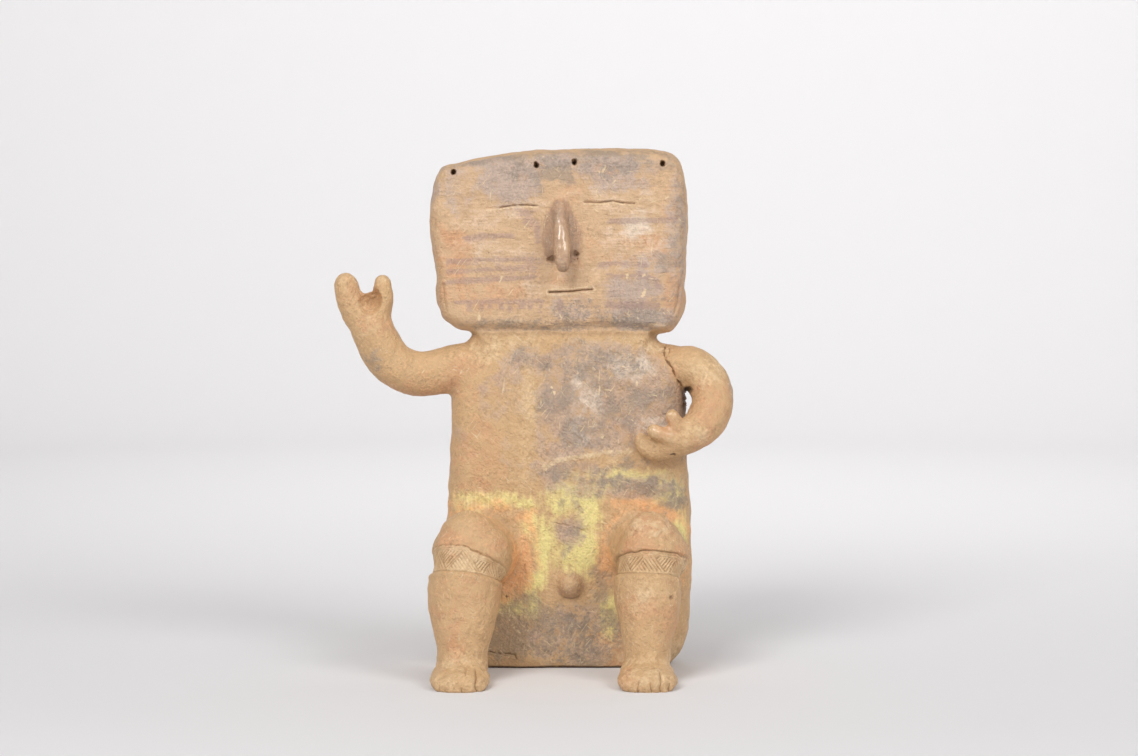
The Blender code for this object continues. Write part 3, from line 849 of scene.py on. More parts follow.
def patches(*ellipses):
    """Distance inside the nearest ellipse (centre x, centre z, half width, half height, strength), as
    seen from the front. A weak patch never counts as far inside, so that noise breaks it up
    everywhere."""
    nearest = np.full(len(x), FAR)
    for cx, cz, rx, rz, *strength in ellipses:
        most = 12 * strength[0] - 4 if strength else 8
        inside = (1 - np.hypot((x - cx) / rx, (z - cz) / rz)) * min(rx, rz)
        nearest = np.maximum(nearest, np.minimum(inside, most))
    return nearest


def lines_of(half_width, *lines):
    """Distance inside the edge of painted lines of the given half width."""
    return np.max([half_width - off_line(skin_points, line) for line in lines], axis=0)


def ring(cx, cz, radius, half_width):
    """Distance inside the edge of a painted ring."""
    return half_width - np.abs(np.hypot(x - cx, z - cz) - radius)


def only(field, mask):
    """The field where the mask holds, and far outside elsewhere."""
    return np.maximum(np.where(mask, field, FAR), FAR)


is_face = head_skin & (y < HEAD_FRONT + 10)
is_belly = (z < 292) & (y > -42) & (y < 8)
is_front = (skin_normals[:, 1] < 0.25) & (y > -35)
print("points on the front of the slabs:", int(is_front.sum()))

# %% Painted stripes on the face
stripes = np.max([
    lines_of(2.6, ((-88, 373.4), (-72, 375), (-50, 375.7))),
    lines_of(2.0, ((-104, 353.2), (-76, 354.7), (-30, 355.6)), ((-104, 345.0), (-76, 346.2), (-30, 347.6))),
    lines_of(2.3, ((-104, 335.6), (-76, 337.5), (-30, 340.0))),
    lines_of(1.7, ((-98, 318.6), (-60, 319.4), (-23, 319.2))),
    lines_of(2.4, ((36, 387.6), (65, 388.6), (92, 390))),
    lines_of(1.8, ((26, 350.2), (44, 351.4), (66, 349.6))),
    lines_of(2.3, ((34, 340.6), (61, 341.8), (72, 339.2), (78, 332))),
    lines_of(3.2, ((34, 316), (76, 316))),
    patches((-37, 395, 7, 3.4), (-33, 387, 7.5, 4.5, 0.7), (-27, 379, 3, 10, 0.6), (-7.5, 315, 2.5, 6)),
    patches((-34, 352, 10, 8, 0.3)),
], axis=0)
tooth = np.abs(((x + 98) / 8.7 + 0.14 * np.sin(x * 0.35)) % 1 * 2 - 1)
tooth_length = 7.5 + 2.0 * np.sin(x * 0.23 + 1)
comb = np.minimum(319.5 - z, (0.46 - tooth) * 4.3)
comb = np.minimum(comb, (tooth_length - (319.5 - z)) * 0.8)
stripes = only(np.maximum(stripes, np.where((x > -90) & (x < -22), comb + 0.3, FAR)), is_face)
print("points under a painted stripe:", int((stripes > 0).sum()))

# %% Smoke, and the purple-brown haze of rubbed paint
smoke_face = patches(
    (-26, 421, 6, 12), (-9, 433, 18, 13), (32, 446, 44, 9, 0.9), (-60, 442, 36, 7, 0.75),
    (36, 434, 28, 9, 0.6), (86, 440, 12, 9, 0.4), (6, 309, 18, 8, 0.25), (55, 316, 22, 6, 0.9),
    (56, 303, 32, 10, 0.8), (84, 352, 9, 8, 0.75), (93, 366, 5, 40, 0.6), (94, 396, 5, 26, 0.8),
    (-60, 299, 44, 4, 0.6), (10, 297, 90, 4, 0.7), (-46, 432, 22, 8, 0.5),
)
mauve_face = patches(
    (-52, 423, 30, 23, 0.95), (-63, 438, 34, 10, 0.85), (36, 434, 34, 12, 0.8), (-104, 417, 11, 8, 0.5),
    (42, 422, 24, 9, 0.6), (72, 350, 30, 9, 0.55), (92, 372, 10, 50, 0.45),
    (56, 330, 27, 14), (-12, 440, 22, 8), (60, 305, 32, 12, 0.8), (4, 313, 20, 10, 0.4),
    (-94, 411, 12, 16, 0.4), (-86, 424, 18, 18, 0.45),
)
smoke_body = patches(
    (3, 277, 14, 6.5), (11, 258, 13, 9), (-3, 258, 8, 12), (31, 269, 16, 10), (-40, 271, 11, 9),
    (34, 228, 12, 12), (82, 238, 10, 11, 0.7), (26, 248, 11, 6, 0.6), (60, 236, 18, 12, 0.9),
    (-21, 263, 9, 6, 0.7), (71, 161, 32, 7), (33, 164, 14, 5, 0.8), (93, 148, 10, 10, 0.7),
    (23, 151, 4.6, 5), (-3, 103, 4.5, 4.5), (3, 121, 9, 7, 0.6), (-6, 172, 17, 7, 0.85),
    (45, 178, 14, 5, 0.8), (25, 173, 9, 4, 0.6), (-2, 237, 9, 14, 0.6), (14, 205, 26, 16, 0.6),
    (-17, 236, 8, 22, 0.55), (48, 262, 16, 10, 0.5), (88, 222, 8, 14, 0.6), (-170, 268, 6, 7, 0.8),
    (102, 166, 6, 20, 0.5), (-93, 128, 8, 5, 0.7), (50, 214, 9, 8, 0.8), (4, 41, 13, 8, 0.8),
    (16, 21, 8, 10, 0.75), (1, 8, 10, 4, 0.7),
)
mauve_body = patches(
    (-12, 233, 19, 16), (-7, 215, 12, 16), (12, 209, 26, 17, 0.8), (-3, 190, 18, 10), (-18, 243, 12, 9),
    (-13, 168, 15, 9), (52, 214, 16, 12, 0.7), (66, 238, 22, 11), (-40, 268, 14, 12, 0.7),
    (20, 268, 34, 14, 0.7), (84, 236, 16, 16, 0.6), (-30, 205, 10, 26, 0.4), (-60, 236, 16, 20, 0.35),
    (58, 158, 44, 10, 0.7), (1, 120, 14, 12, 0.7), (-44, 190, 14, 14, 0.3), (34, 236, 62, 48, 0.65),
    (10, 262, 34, 22, 0.6), (4, 166, 30, 16, 0.5), (-40, 262, 20, 18, 0.45), (6, 44, 22, 12, 0.45),
    (-16, 28, 20, 18, 0.5), (14, 13, 20, 8, 0.6),
)
smoke_back = 7 * waves(95, 31) + 3 * waves(36, 32) - 8
mauve_back = 8 * waves(120, 33) + 4 * waves(45, 34) - 5
bare_strip = patches((-35, 222, 8, 46), (-38, 200, 10, 30))
smoke_body = np.minimum(smoke_body, -bare_strip)
mauve_body = np.minimum(mauve_body, -bare_strip)
round_the_side = 0.4 * np.maximum(0, y + 20)
on_torso = is_front & (z < 291)
smoke = np.maximum(only(smoke_face, is_face), only(smoke_body - round_the_side, on_torso))
mauve_body = only(mauve_body - round_the_side, on_torso & (np.abs(x) < 112))
mauve = np.maximum(only(mauve_face, is_face), mauve_body)
behind = 0.5 * np.maximum(0, 16 - y)
smoke = np.maximum(smoke, np.minimum(smoke_back - behind, 6))
mauve = np.maximum(mauve, np.minimum(mauve_back - behind, 5))
print("share of the skin under smoke:", round(float((smoke > 0).mean()), 3))

# %% Yellow, orange and olive stains round the hips
yellow = patches(
    (-3, 155, 15, 7), (18, 137, 10, 21), (32, 161, 14, 6), (46, 168, 36, 4.5, 0.55), (-7, 143, 8, 10, 0.8),
    (86, 154, 14, 13, 0.7), (-21, 108, 9.5, 24), (-27, 78, 8, 9), (-43, 144, 13, 5.5), (-50, 54, 12, 6, 0.7),
    (15, 106, 11, 22, 0.9), (35, 50, 7.5, 18, 0.6), (98, 124, 6, 16, 0.9), (-70, 147, 34, 5, 0.8),
    (4, 150, 22, 10, 0.6), (-33, 128, 8, 9, 0.7), (-88, 143, 12, 6, 0.35), (-32, 60, 6, 14, 0.6),
    (2, 98, 20, 13, 0.5),
)
orange = np.max([
    patches(
        (-71, 142, 24, 7), (-97, 138, 9, 11), (-37, 133, 11, 8, 0.8), (-43, 89, 14, 29), (-51, 76, 12, 12),
        (61, 145, 26, 7), (78, 139, 14, 6), (32, 90, 8.5, 24), (102, 82, 4, 8), (-57, 61, 6, 6, 0.8),
        (-101, 134, 6, 15), (90, 134, 10, 8),
    ),
    ring(-70, 102, 43, 4) - 1.5, ring(68, 102, 40, 4) - 1.5,
], axis=0)
under_the_comb = (x < -56) & (z > 136) & (z < 153)
orange = np.where(under_the_comb, np.clip(orange, FAR, 2.0), orange)
combed = step(x, -93, -88) * step(-x, 62, 66) * step(z, 140.5, 142.5) * step(-z, -152, -149.5) * (y < -20)
olive = patches(
    (-54, 31, 22, 24, 0.95), (-33, 55, 16, 13, 0.85), (-21, 46, 19, 14, 0.9), (-3, 45, 13, 9, 0.85),
    (29, 70, 8, 18, 0.9), (-28, 17, 20, 8, 0.7), (22, 24, 15, 9, 0.6), (6, 11, 14, 6, 0.6),
    (70, 158, 28, 7, 0.7), (90, 150, 13, 15, 0.7), (0, 28, 56, 28, 0.42), (32, 42, 8, 12, 0.6),
    (30, 162, 30, 5, 0.5), (1, 140, 9, 12, 0.4),
)
bare_olive = patches(
    (-4, 25, 10, 8), (-12, 61, 11, 6), (4, 55, 14, 7), (19, 50, 9, 7), (32, 26, 8, 11), (-38, 8, 14, 4),
)
olive = np.minimum(olive, -bare_olive)
lower_body = is_belly & (y < -4) & (np.abs(x) < 110)
speckled = patches(
    (8, 308, 24, 15), (60, 304, 36, 10), (-30, 299, 50, 5), (0, 30, 50, 26, 0.6), (30, 266, 40, 12, 0.6),
)
speckled = only(speckled, is_front | is_face)
yellow = only(yellow - round_the_side, lower_body)
orange = only(orange, lower_body & (z > 48))
olive = only(olive, lower_body)
for name, stain in (("yellow", yellow), ("orange", orange), ("olive", olive)):
    print("points stained", name + ":", int((stain > 0).sum()))

# %% Warm and pale zones, nicks, polish
warm = patches(
    (70, 128, 24, 13, 0.9), (-98, 120, 12, 10, 0.8), (6, 312, 22, 12, 0.4), (-98, 362, 14, 26),
    (-84, 326, 32, 10, 0.6), (-6, 346, 20, 13, 0.8), (58, 366, 34, 12, 0.5), (97, 318, 9, 16),
    (-5, 407, 12, 7), (-134, 242, 36, 12, 0.6), (130, 216, 18, 34, 0.9), (118, 238, 14, 14, 0.6),
    (-166, 296, 16, 12, 0.6), (-84, 215, 22, 62, 0.42), (92, 340, 6, 60, 0.6), (-104, 60, 16, 30, 0.6),
    (84, 52, 12, 18), (-80, 122, 18, 12, 0.8), (-62, 114, 9, 9), (50, 116, 8, 8, 0.9),
    (30, 25, 15, 15, 0.8), (-190, 334, 8, 10, 0.7), (46, 211, 16, 8, 0.7), (84, 214, 9, 9),
    (-82, 76, 30, 14, 0.6), (45, 8, 10, 12, 0.8), (96, 112, 8, 9, 0.8), (33, 30, 12, 10, 0.7),
    (3, 140, 10, 8, 0.6), (-88, 252, 20, 14, 0.5), (60, 62, 16, 12, 0.6),
)
warm = np.maximum(warm, lines_of(3.0, ((84, 270), (92, 254), (98, 240), (92, 225))))
# The first pale patch, between the legs, lightens clay that lies in shade there, so it is partly painted
# light.
pale = patches(
    (0, 34, 48, 34, 0.5), (-4, 336, 16, 8, 0.6), (-66, 362, 34, 8, 0.8), (62, 372, 36, 34, 0.75),
    (44, 408, 44, 16, 0.85), (-34, 236, 7, 54), (70, 130, 20, 6, 0.5), (-70, 400, 36, 16, 0.5),
    (40, 350, 44, 10, 0.5), (50, 279, 38, 10, 0.8), (-60, 279, 26, 12, 0.7), (-6, 29, 10, 7),
    (6, 57, 20, 7), (-19, 6, 34, 4, 0.8), (-38, 236, 6, 50, 0.8), (-88, 14, 24, 10, 0.5),
    (66, 14, 24, 10, 0.5), (64, 78, 16, 12, 0.6), (-170, 296, 12, 10), (-184, 318, 6, 14),
    (120, 262, 18, 10, 0.6), (-30, 331, 14, 5), (-28, 404, 30, 6, 0.7), (34, 398, 26, 8, 0.7),
    (100, 205, 16, 8, 0.6),
)
pale = np.maximum(pale, lines_of(2.6, MOUTH))
pale = np.maximum(pale, lines_of(5.0, BELLY_STREAK))
pale = np.maximum(pale, np.where(band_skin > 0.4, 5.0, FAR))
haze = patches(
    (57, 387, 22, 12), (63, 395, 11, 7), (14, 226, 14, 30, 0.5), (52, 262, 22, 12, 0.6),
    (72, 212, 14, 8, 0.6),
)
haze = only(haze, is_front | is_face)
# The brown on the nose is partly paint and partly painted shade on its steep sides.
nose_brown_and_shade = only(np.minimum(patches((-6.8, 374, 17.5, 34)) + 2, 2.5 * (HEAD_FRONT - 1 - y)), head_skin)
knob_paint = np.minimum(patches((KNOB[0], KNOB[1], 13.5, 13.5)), 2.5 * (TORSO_FRONT - 0.4 - y))
knob_paint = only(np.minimum(knob_paint, 2.2), (y > -46) & (z < 90))
grey_brown = np.maximum(nose_brown_and_shade, knob_paint)
NICKS = (
    (-58.5, 338.3, 5.0, 55, 0.8), (-85.2, 353.8, 3.0, 80, 0.6), (-77.5, 305.6, 5.0, 88, 0.8),
    (49.9, 340.9, 3.0, 80, 0.8), (64.6, 341.5, 4.0, 55, 0.7), (64.6, 326.3, 6.5, 68, 1.4),
    (-6.9, 305.6, 5.0, 115, 0.8), (77.3, 406.2, 16.0, 14, 0.6), (62, 408, 6.0, 40, 0.5),
    (58, 250, 9.0, 104, 0.7), (26, 430, 2.0, 90, 0.7), (-14, 243, 12.0, 118, 0.7), (-62, 258, 5.0, 88, 1.0),
    (-48, 37, 16, 128, 0.7), (30, 202, 3, 40, 0.6),
)
HEAD_GLOSS = NOSE_REACH * 0.62 - HEAD_FRONT
nicks = np.zeros(len(x))
for nick_x, nick_z, length, turn, half_width in NICKS:
    dx, dz = math.cos(math.radians(turn)) * length / 2, math.sin(math.radians(turn)) * length / 2
    apart = off_line(skin_points, ((nick_x - dx, nick_z - dz), (nick_x + dx, nick_z + dz)))
    nicks = np.maximum(nicks, step(half_width + 0.4 - apart, 0.0, 0.8) * (y < -18))
nicks = np.maximum(nicks, np.maximum(0.7 * left_knee * folds, 0.75 * rims))
nicks = np.maximum(nicks, 0.6 * streak)
ridge_gloss = step(-y, HEAD_GLOSS - 5, HEAD_GLOSS) * head_skin * step(z, 350, 362) * step(-z, -400, -382)
finger_gloss = step(-y, 44, 49) * (z > 192) * (z < 232) * (x > 60) * (x < 92) * 0.6
polish = np.maximum(ridge_gloss, finger_gloss)
print("points that shine:", int((polish > 0.5).sum()))

# %% Store the maps on the skin
fields = {
    "stripes": stripes, "smoke": smoke, "mauve": mauve, "yellow": yellow, "orange": orange, "olive": olive,
    "warm": np.maximum(warm, FAR), "pale": np.maximum(pale, FAR), "haze": haze, "grey_brown": grey_brown,
    "nicks": nicks, "shade_and_dirt": np.clip(shade_and_dirt, 0, 1.5), "palm": palm_shade, "polish": polish,
    "hatching": band_lines,
    "speckled": speckled, "combed": combed, "hollow_shade_and_dirt": hollow_shade_and_dirt, "ridge": step(proud, 0.5, 2.2),
    "head": head_skin.astype(float),
}
for name, values in fields.items():
    clay.attributes.new(name, "FLOAT", "POINT").data.foreach_set("value", values.astype(np.float32))
clay.attributes.remove(clay.attributes["proud"])
print("maps:", ", ".join(fields))

# %% [markdown]
# ## One piece
#
# The skin becomes the finished piece. It stands for the solid of the frame, and it is thinned where that
# costs nothing, because a library part should stay light.

# %% The finished piece
MOST_TRIANGLES = 192000


def finished(mesh):
    """The piece, thinned to MOST_TRIANGLES at most, and shaded smooth."""
    piece = bpy.data.objects.new("fired_clay_figure", mesh)
    bpy.context.scene.collection.objects.link(piece)
    triangles = len(mesh.loops) - 2 * len(mesh.polygons)
    if triangles > MOST_TRIANGLES:
        thin = piece.modifiers.new("thin", "DECIMATE")
        thin.ratio = MOST_TRIANGLES / triangles
        ready = piece.evaluated_get(bpy.context.evaluated_depsgraph_get())
        piece.data = bpy.data.meshes.new_from_object(ready)
        piece.modifiers.clear()
        bpy.data.meshes.remove(mesh)
    piece.data.polygons.foreach_set("use_smooth", np.ones(len(piece.data.polygons), bool))
    print("triangles:", triangles, "thinned to", len(piece.data.loops) - 2 * len(piece.data.polygons))
    return piece


figure = finished(clay)

# %% [markdown]
# ## The finish: a small language for nodes
#
# The colour of the clay is a sum of layers, and sums are easier to read as formulas than as boxes and
# wires. So a wire of the node tree gets the signs +, -, * and a soft cut-off, and each layer of the
# finish becomes one line.

# %% Wires with arithmetic
finish = bpy.data.materials.new("burnished_painted_clay")
finish.use_nodes = True
tree = finish.node_tree
surface = tree.nodes["Principled BSDF"]


class Wire:
    """An output of the node tree. a + b, a - b and a * b each add one Math node."""

    def __init__(self, socket):
        self.socket = socket

    def math(self, operation, *others):
        node = tree.nodes.new("ShaderNodeMath")
        node.operation = operation
        for slot, value in zip(node.inputs, (self, *others)):
            plug(slot, value)
        return Wire(node.outputs[0])

    def __add__(self, other):
        return self.math("ADD", other)

    def __sub__(self, other):
        return self.math("SUBTRACT", other)

    def __mul__(self, other):
        return self.math("MULTIPLY", other)

    def cut(self, low, high, top=1.0):
        """0 below low, rising smoothly to top at high."""
        node = tree.nodes.new("ShaderNodeMapRange")
        node.interpolation_type = "SMOOTHSTEP"
        for slot, value in zip(node.inputs, (self, low, high, 0.0, top)):
            plug(slot, value)
        return Wire(node.outputs[0])


def plug(slot, value):
    """Links a wire to the slot, or sets the slot to a plain value."""
    if isinstance(value, Wire):
        tree.links.new(value.socket, slot)
    else:
        slot.default_value = value


where = tree.nodes.new("ShaderNodeTexCoord")


def stretched(size, stretch, offset, turn):
    """Object coordinates turned about the depth axis by turn degrees, in which a pattern is size parts
    long and pulled out along each axis by stretch."""
    place = tree.nodes.new("ShaderNodeMapping")
    place.vector_type = "TEXTURE"
    place.inputs["Location"].default_value = [value * 0.1 for value in offset]
    place.inputs["Rotation"].default_value = (0, math.radians(turn), 0)
    place.inputs["Scale"].default_value = [size * PART * pull for pull in stretch]
    tree.links.new(where.outputs["Object"], place.inputs["Vector"])
    return Wire(place.outputs[0])


def noise(size, stretch=(1, 1, 1), detail=3.0, offset=(0, 0, 0), rough=0.55, turn=0):
    """Cloudy noise about 0, with a spread of roughly 1, whose blobs are size parts wide."""
    node = tree.nodes.new("ShaderNodeTexNoise")
    node.inputs["Scale"].default_value = 1.0
    node.inputs["Detail"].default_value = detail
    node.inputs["Roughness"].default_value = rough
    plug(node.inputs["Vector"], stretched(size, stretch, offset, turn))
    return (Wire(node.outputs["Fac"]) - 0.5) * 8.0


def field(name):
    """The number that was stored under that name at every point."""
    node = tree.nodes.new("ShaderNodeAttribute")
    node.attribute_name = name
    return Wire(node.outputs["Fac"])


def layer(under, colour, mask):
    """Colour laid over what is under it, where the mask is 1."""
    node = tree.nodes.new("ShaderNodeMix")
    node.data_type = "RGBA"
    plug(node.inputs["Factor"], mask)
    plug(node.inputs["A"], under)
    plug(node.inputs["B"], colour)
    return Wire(node.outputs["Result"])


def over(paint, mask):
    """Lays a paint over all the colour so far, where the mask is 1."""
    global colour
    colour = layer(colour, paint, mask)


print("nodes before the first layer:", len(tree.nodes))

# %% [markdown]
# ## The bare clay
#
# The bare clay is buff, with paler and redder clouds from the fire. Three sizes of noise mottle it, and
# streaks along the strokes of the burnishing pebble run through it: level on the head, at a slant
# elsewhere.

# %% Noise of every size, and the bare clay
BUFF, WARM_BUFF = (0.598, 0.395, 0.231, 1), (0.589, 0.375, 0.193, 1)
CREAM, CHALK = (0.76, 0.585, 0.36, 1), (0.74, 0.58, 0.44, 1)
ROSE, BROWN = (0.61, 0.325, 0.17, 1), (0.38, 0.235, 0.15, 1)

broad, broad_two = noise(60, detail=2), noise(48, detail=2, offset=(3, 5, 1))
patchy, patchy_two = noise(20, detail=3), noise(17, detail=3, offset=(2, 7, 4))
mottled, mottled_two = noise(8, detail=3, rough=0.6), noise(7, detail=3, rough=0.6, offset=(6, 3, 8))
fine, grain = noise(3.6, detail=2, rough=0.65), noise(1.9, detail=1)
level = noise(4.5, stretch=(6, 1, 0.55), detail=3, rough=0.6)
slanted = noise(3.2, stretch=(0.8, 1, 6), detail=2, rough=0.6, turn=28)
crossing = noise(3.2, stretch=(0.8, 1, 6), detail=2, rough=0.6, turn=-52, offset=(2, 4, 1))
upright = noise(4.4, stretch=(0.6, 1, 6), detail=3)
on_head = field("head")
strokes = level * on_head * 0.8 + (slanted + crossing) * 0.6 * (on_head * -1.0 + 1.0)

tone = broad * 0.3 + patchy * 0.5 + mottled * 0.5 + fine * 0.25 + strokes * 0.3
redder = broad_two * 0.6 + patchy_two * 0.7 + mottled_two * 0.6 + field("warm") * 0.14
colour = layer(WARM_BUFF, BUFF, on_head)
over(ROSE, redder.cut(-0.9, 2.4, 0.85))
chalky = layer(CREAM, CHALK, on_head)
over(chalky, (tone - on_head * 0.2 + field("pale") * 0.1).cut(-0.5, 2.2, 0.75))
over(BROWN, (tone * -1.0 + grain * 0.2).cut(0.5, 2.4, 0.25))
print("nodes with the bare clay:", len(tree.nodes))

# %% [markdown]
# ## Paint and smoke
#
# Over the clay lie the yellow and orange stains round the hips, the smoky clouds of the chest and face,
# and the painted stripes. Each is cut from its map with noise added, and worn through again by finer
# noise. On one hip the yellow was combed: thin upright strokes, evenly spaced, let the pale clay through.

# %% The layers of paint
YELLOW, ORANGE, DEEP_ORANGE = (0.85, 0.76, 0.30, 1), (0.88, 0.46, 0.205, 1), (0.66, 0.28, 0.11, 1)
MAUVE, FACE_MAUVE = (0.455, 0.325, 0.25, 1), (0.44, 0.345, 0.30, 1)
SMOKE, OLIVE, HAZE = (0.285, 0.232, 0.188, 1), (0.345, 0.26, 0.175, 1), (0.78, 0.67, 0.55, 1)
# NOSE_BROWN is brown paint on the knob, and brown paint with painted shade on the nose.
STRIPE, NOSE_BROWN, COMB_BUFF = (0.37, 0.245, 0.205, 1), (0.36, 0.215, 0.15, 1), (0.84, 0.66, 0.36, 1)
COMB_GAP = 3.5
worn = mottled_two * 0.35 + fine * 0.5 + strokes * 0.4
ragged = patchy * 2.6 + mottled * 3.0 + fine * 0.9 + strokes * 1.3
ragged_two = patchy_two * 2.6 + mottled_two * 3.2 + fine * 1.1 + strokes * 1.4

over(YELLOW, (field("yellow") + 1.0 + ragged * 0.5 + upright * 1.8).cut(-4.0, 7.5, 0.84))
over(CREAM, (field("yellow") * 0.08 + worn).cut(0.4, 2.0, 0.4))
over(ORANGE, (field("orange") + ragged_two * 0.5 + upright * 1.6).cut(-3.0, 7.0, 0.72))
over(DEEP_ORANGE, (field("orange") + patchy_two * 3.0 + mottled * 2.2).cut(4.0, 12.0, 0.3))
purple = layer(MAUVE, FACE_MAUVE, on_head)
over(purple, (field("mauve") + ragged * 0.8).cut(-4.0, 6.0, 0.74))
over(OLIVE, (field("olive") + ragged_two).cut(-2.5, 5.0, 0.66))
rubbed_haze = field("haze") + patchy * 3.0 + strokes * 1.5 + mottled * 1.2
over(HAZE, rubbed_haze.cut(-2.0, 8.0, 0.6))
over(SMOKE, (field("smoke") + ragged_two).cut(-2.5, 6.5, 0.6))
pepper = noise(2.6, detail=2, rough=0.7, offset=(3, 8, 5))
peppered = field("speckled").cut(-3.0, 1.0)
dark_grains = (field("speckled") * 0.1 + pepper + mottled * 0.3).cut(0.4, 1.4, 0.6)
over(SMOKE, dark_grains * peppered)
over(CREAM, (pepper * -1.0 + mottled_two * 0.3).cut(0.7, 1.7, 0.45) * peppered)

axes = tree.nodes.new("ShaderNodeSeparateXYZ")
tree.links.new(where.outputs["Object"], axes.inputs[0])
teeth = (Wire(axes.outputs[0]) * (1 / (COMB_GAP * PART))).math("FRACT") - 0.5
teeth = (teeth.math("ABSOLUTE") + upright * 0.02).cut(0.28, 0.42)
over(COMB_BUFF, teeth * field("combed") * 0.6)
worn_stripes = field("stripes") + level * 0.8 + mottled * 0.5 + fine * 0.4
over(STRIPE, worn_stripes.cut(-1.4, 1.2, 0.6))
# Brown paint on the knob; on the nose, brown paint and painted shade on the sides, with the ridge left pale,
# partly as a painted highlight where it shines.
brown_paint_and_shade = field("grey_brown") + patchy + mottled * 1.2 - field("polish") * 7.0
over(NOSE_BROWN, brown_paint_and_shade.cut(0.0, 4.0, 0.62))
nose_smoke = field("grey_brown") * 0.3 + mottled_two + upright * 0.8 - field("polish") * 2.5
over(SMOKE, nose_smoke.cut(1.2, 3.0, 0.3))
print("nodes with the paint:", len(tree.nodes))

# %% [markdown]
# ## What time did, and painted shade
#
# Thin scratches go down to the pale clay in every direction, dark grains show where temper has burnt out,
# ridges are rubbed, and dirt and painted shade darken every crack and hollow, the deepest nearly black. A
# fine unevenness in how light or dark the clay is runs through all of it.

# %% Scratches, grains, dirt and painted shade
# The first dark colour is used for burnt grains, hatching and dirt, and for painted shade in hollows and
# marks; the second paints the deepest of them nearly black as shade.
SHADE_AND_SOIL, HOLE_SHADE, PALM_BROWN = (0.22, 0.125, 0.06, 1), (0.07, 0.04, 0.018, 1), (0.42, 0.215, 0.095, 1)


def shaded(under, amount):
    """The colour multiplied by 1 + amount."""
    node = tree.nodes.new("ShaderNodeVectorMath")
    node.operation = "SCALE"
    plug(node.inputs[0], under)
    plug(node.inputs["Scale"], amount + 1.0)
    return Wire(node.outputs[0])


SCRATCH_WAYS = (((0.9, 1, 7), -48, (1, 2, 3)), ((7, 1, 0.9), 8, (4, 2, 6)), ((0.9, 1, 9), 3, (7, 7, 2)))
scratches = noise(2.0, stretch=(0.9, 1, 9), detail=1, turn=35).cut(1.35, 2.0)
for stretch, turn, offset in SCRATCH_WAYS:
    more = noise(2.0, stretch=stretch, detail=1, turn=turn, offset=offset).cut(1.4, 2.05)
    scratches = scratches.math("MAXIMUM", more)
scratches = scratches * (patchy_two * 0.8 + mottled * 0.4 + 0.6 - on_head * 0.3).cut(0.0, 1.2)
grains = noise(3.0, detail=2, rough=0.7, offset=(9, 1, 2)).cut(1.9, 2.4)
painted = field("mauve").math("MAXIMUM", field("olive"))
texture = (patchy * 0.5 + mottled_two * 0.3 + 0.9).cut(0.0, 1.8, 1.6) + painted.cut(-2.0, 6.0, 0.5)
over(CREAM, scratches * 0.72)
over(CREAM, (field("nicks") + fine * 0.08).cut(0.3, 0.8, 0.85))
over(CREAM, (field("ridge") + worn * 0.5).cut(0.4, 1.6, 0.3))
over(SHADE_AND_SOIL, grains * 0.6)
# The hatched strokes are darkened as dirt and painted shade in the grooves.
over(SHADE_AND_SOIL, field("hatching").cut(0.1, 0.75, 0.45))
# Painted shade and dirt in the hollows.
over(SHADE_AND_SOIL, (field("hollow_shade_and_dirt") + worn * 0.25).cut(0.25, 1.5, 0.35))
# Painted shade in the hollow of the palm.
palm_shaded = field("palm") + mottled * 0.3 + patchy * 0.2 + fine * 0.2
over(PALM_BROWN, palm_shaded.cut(0.1, 1.5, 0.75))
colour = shaded(colour, (fine * 0.055 + grain * 0.045 + strokes * 0.035) * texture + mottled * 0.035)
# Shade and dirt painted from the map: grooves, pits, holes, seams, the slit and the shadow lines under the
# slab, the knob and the jaw.
over(SHADE_AND_SOIL, (field("shade_and_dirt") + fine * 0.05).cut(0.08, 0.7, 0.85))
# The deepest marks are painted nearly black: painted shade in the holes, the top of the slit, the line under
# the slab and the deepest pits.
over(HOLE_SHADE, field("shade_and_dirt").cut(0.85, 1.2, 0.9))
plug(surface.inputs["Base Color"], colour)
print("nodes with the wear:", len(tree.nodes))

# %% [markdown]
# ## Gloss and grain
#
# Burnished clay is smooth where the pebble passed and dull where the surface has worn through. The nose
# and the fingertips have been handled most and shine, which a clear coat on them gives. A very fine grain
# is left to a bump, since no mesh is that fine.

# %% Roughness and bump
rubbed = (field("polish") + mottled * 0.1).cut(0.1, 0.9, 0.42)
roughness = (fine * 0.04 + patchy * 0.05 + scratches * 0.1 + 0.6) - rubbed
plug(surface.inputs["Roughness"], roughness)
surface.inputs["Specular IOR Level"].default_value = 0.45
surface.inputs["Coat Roughness"].default_value = 0.16
plug(surface.inputs["Coat Weight"], (field("polish") + mottled * 0.08).cut(0.3, 1.0, 0.8))

relief = mottled * 0.35 + fine * 0.4 + grain * 0.25 + strokes * 0.35 - scratches * 0.8 - grains * 1.2
relief = relief * (field("polish") * -0.8 + 1.0)
bump = tree.nodes.new("ShaderNodeBump")
bump.inputs["Strength"].default_value = 0.9
bump.inputs["Distance"].default_value = 0.4 * PART
plug(bump.inputs["Height"], relief)
plug(surface.inputs["Normal"], Wire(bump.outputs[0]))
figure.data.materials.clear()
figure.data.materials.append(finish)
print("nodes in the finish:", len(tree.nodes))

# %% [markdown]
# ## The studio
#
# The figure stands in a wide round bowl of pale paper: a flat floor that curves up all round, so that
# there is no horizon from any side. Two large soft lights stand in front, left and right, a third above
# fills the shadows, and a fourth lights the paper behind.

# %% Floor and backdrop
FLOOR_RADIUS, CURVE_RADIUS, PAPER_TOP = 2.3, 1.1, 2.6
PAPER_WHITE, PAPER_ROUGHNESS = (0.77, 0.76, 0.765, 1), 0.9


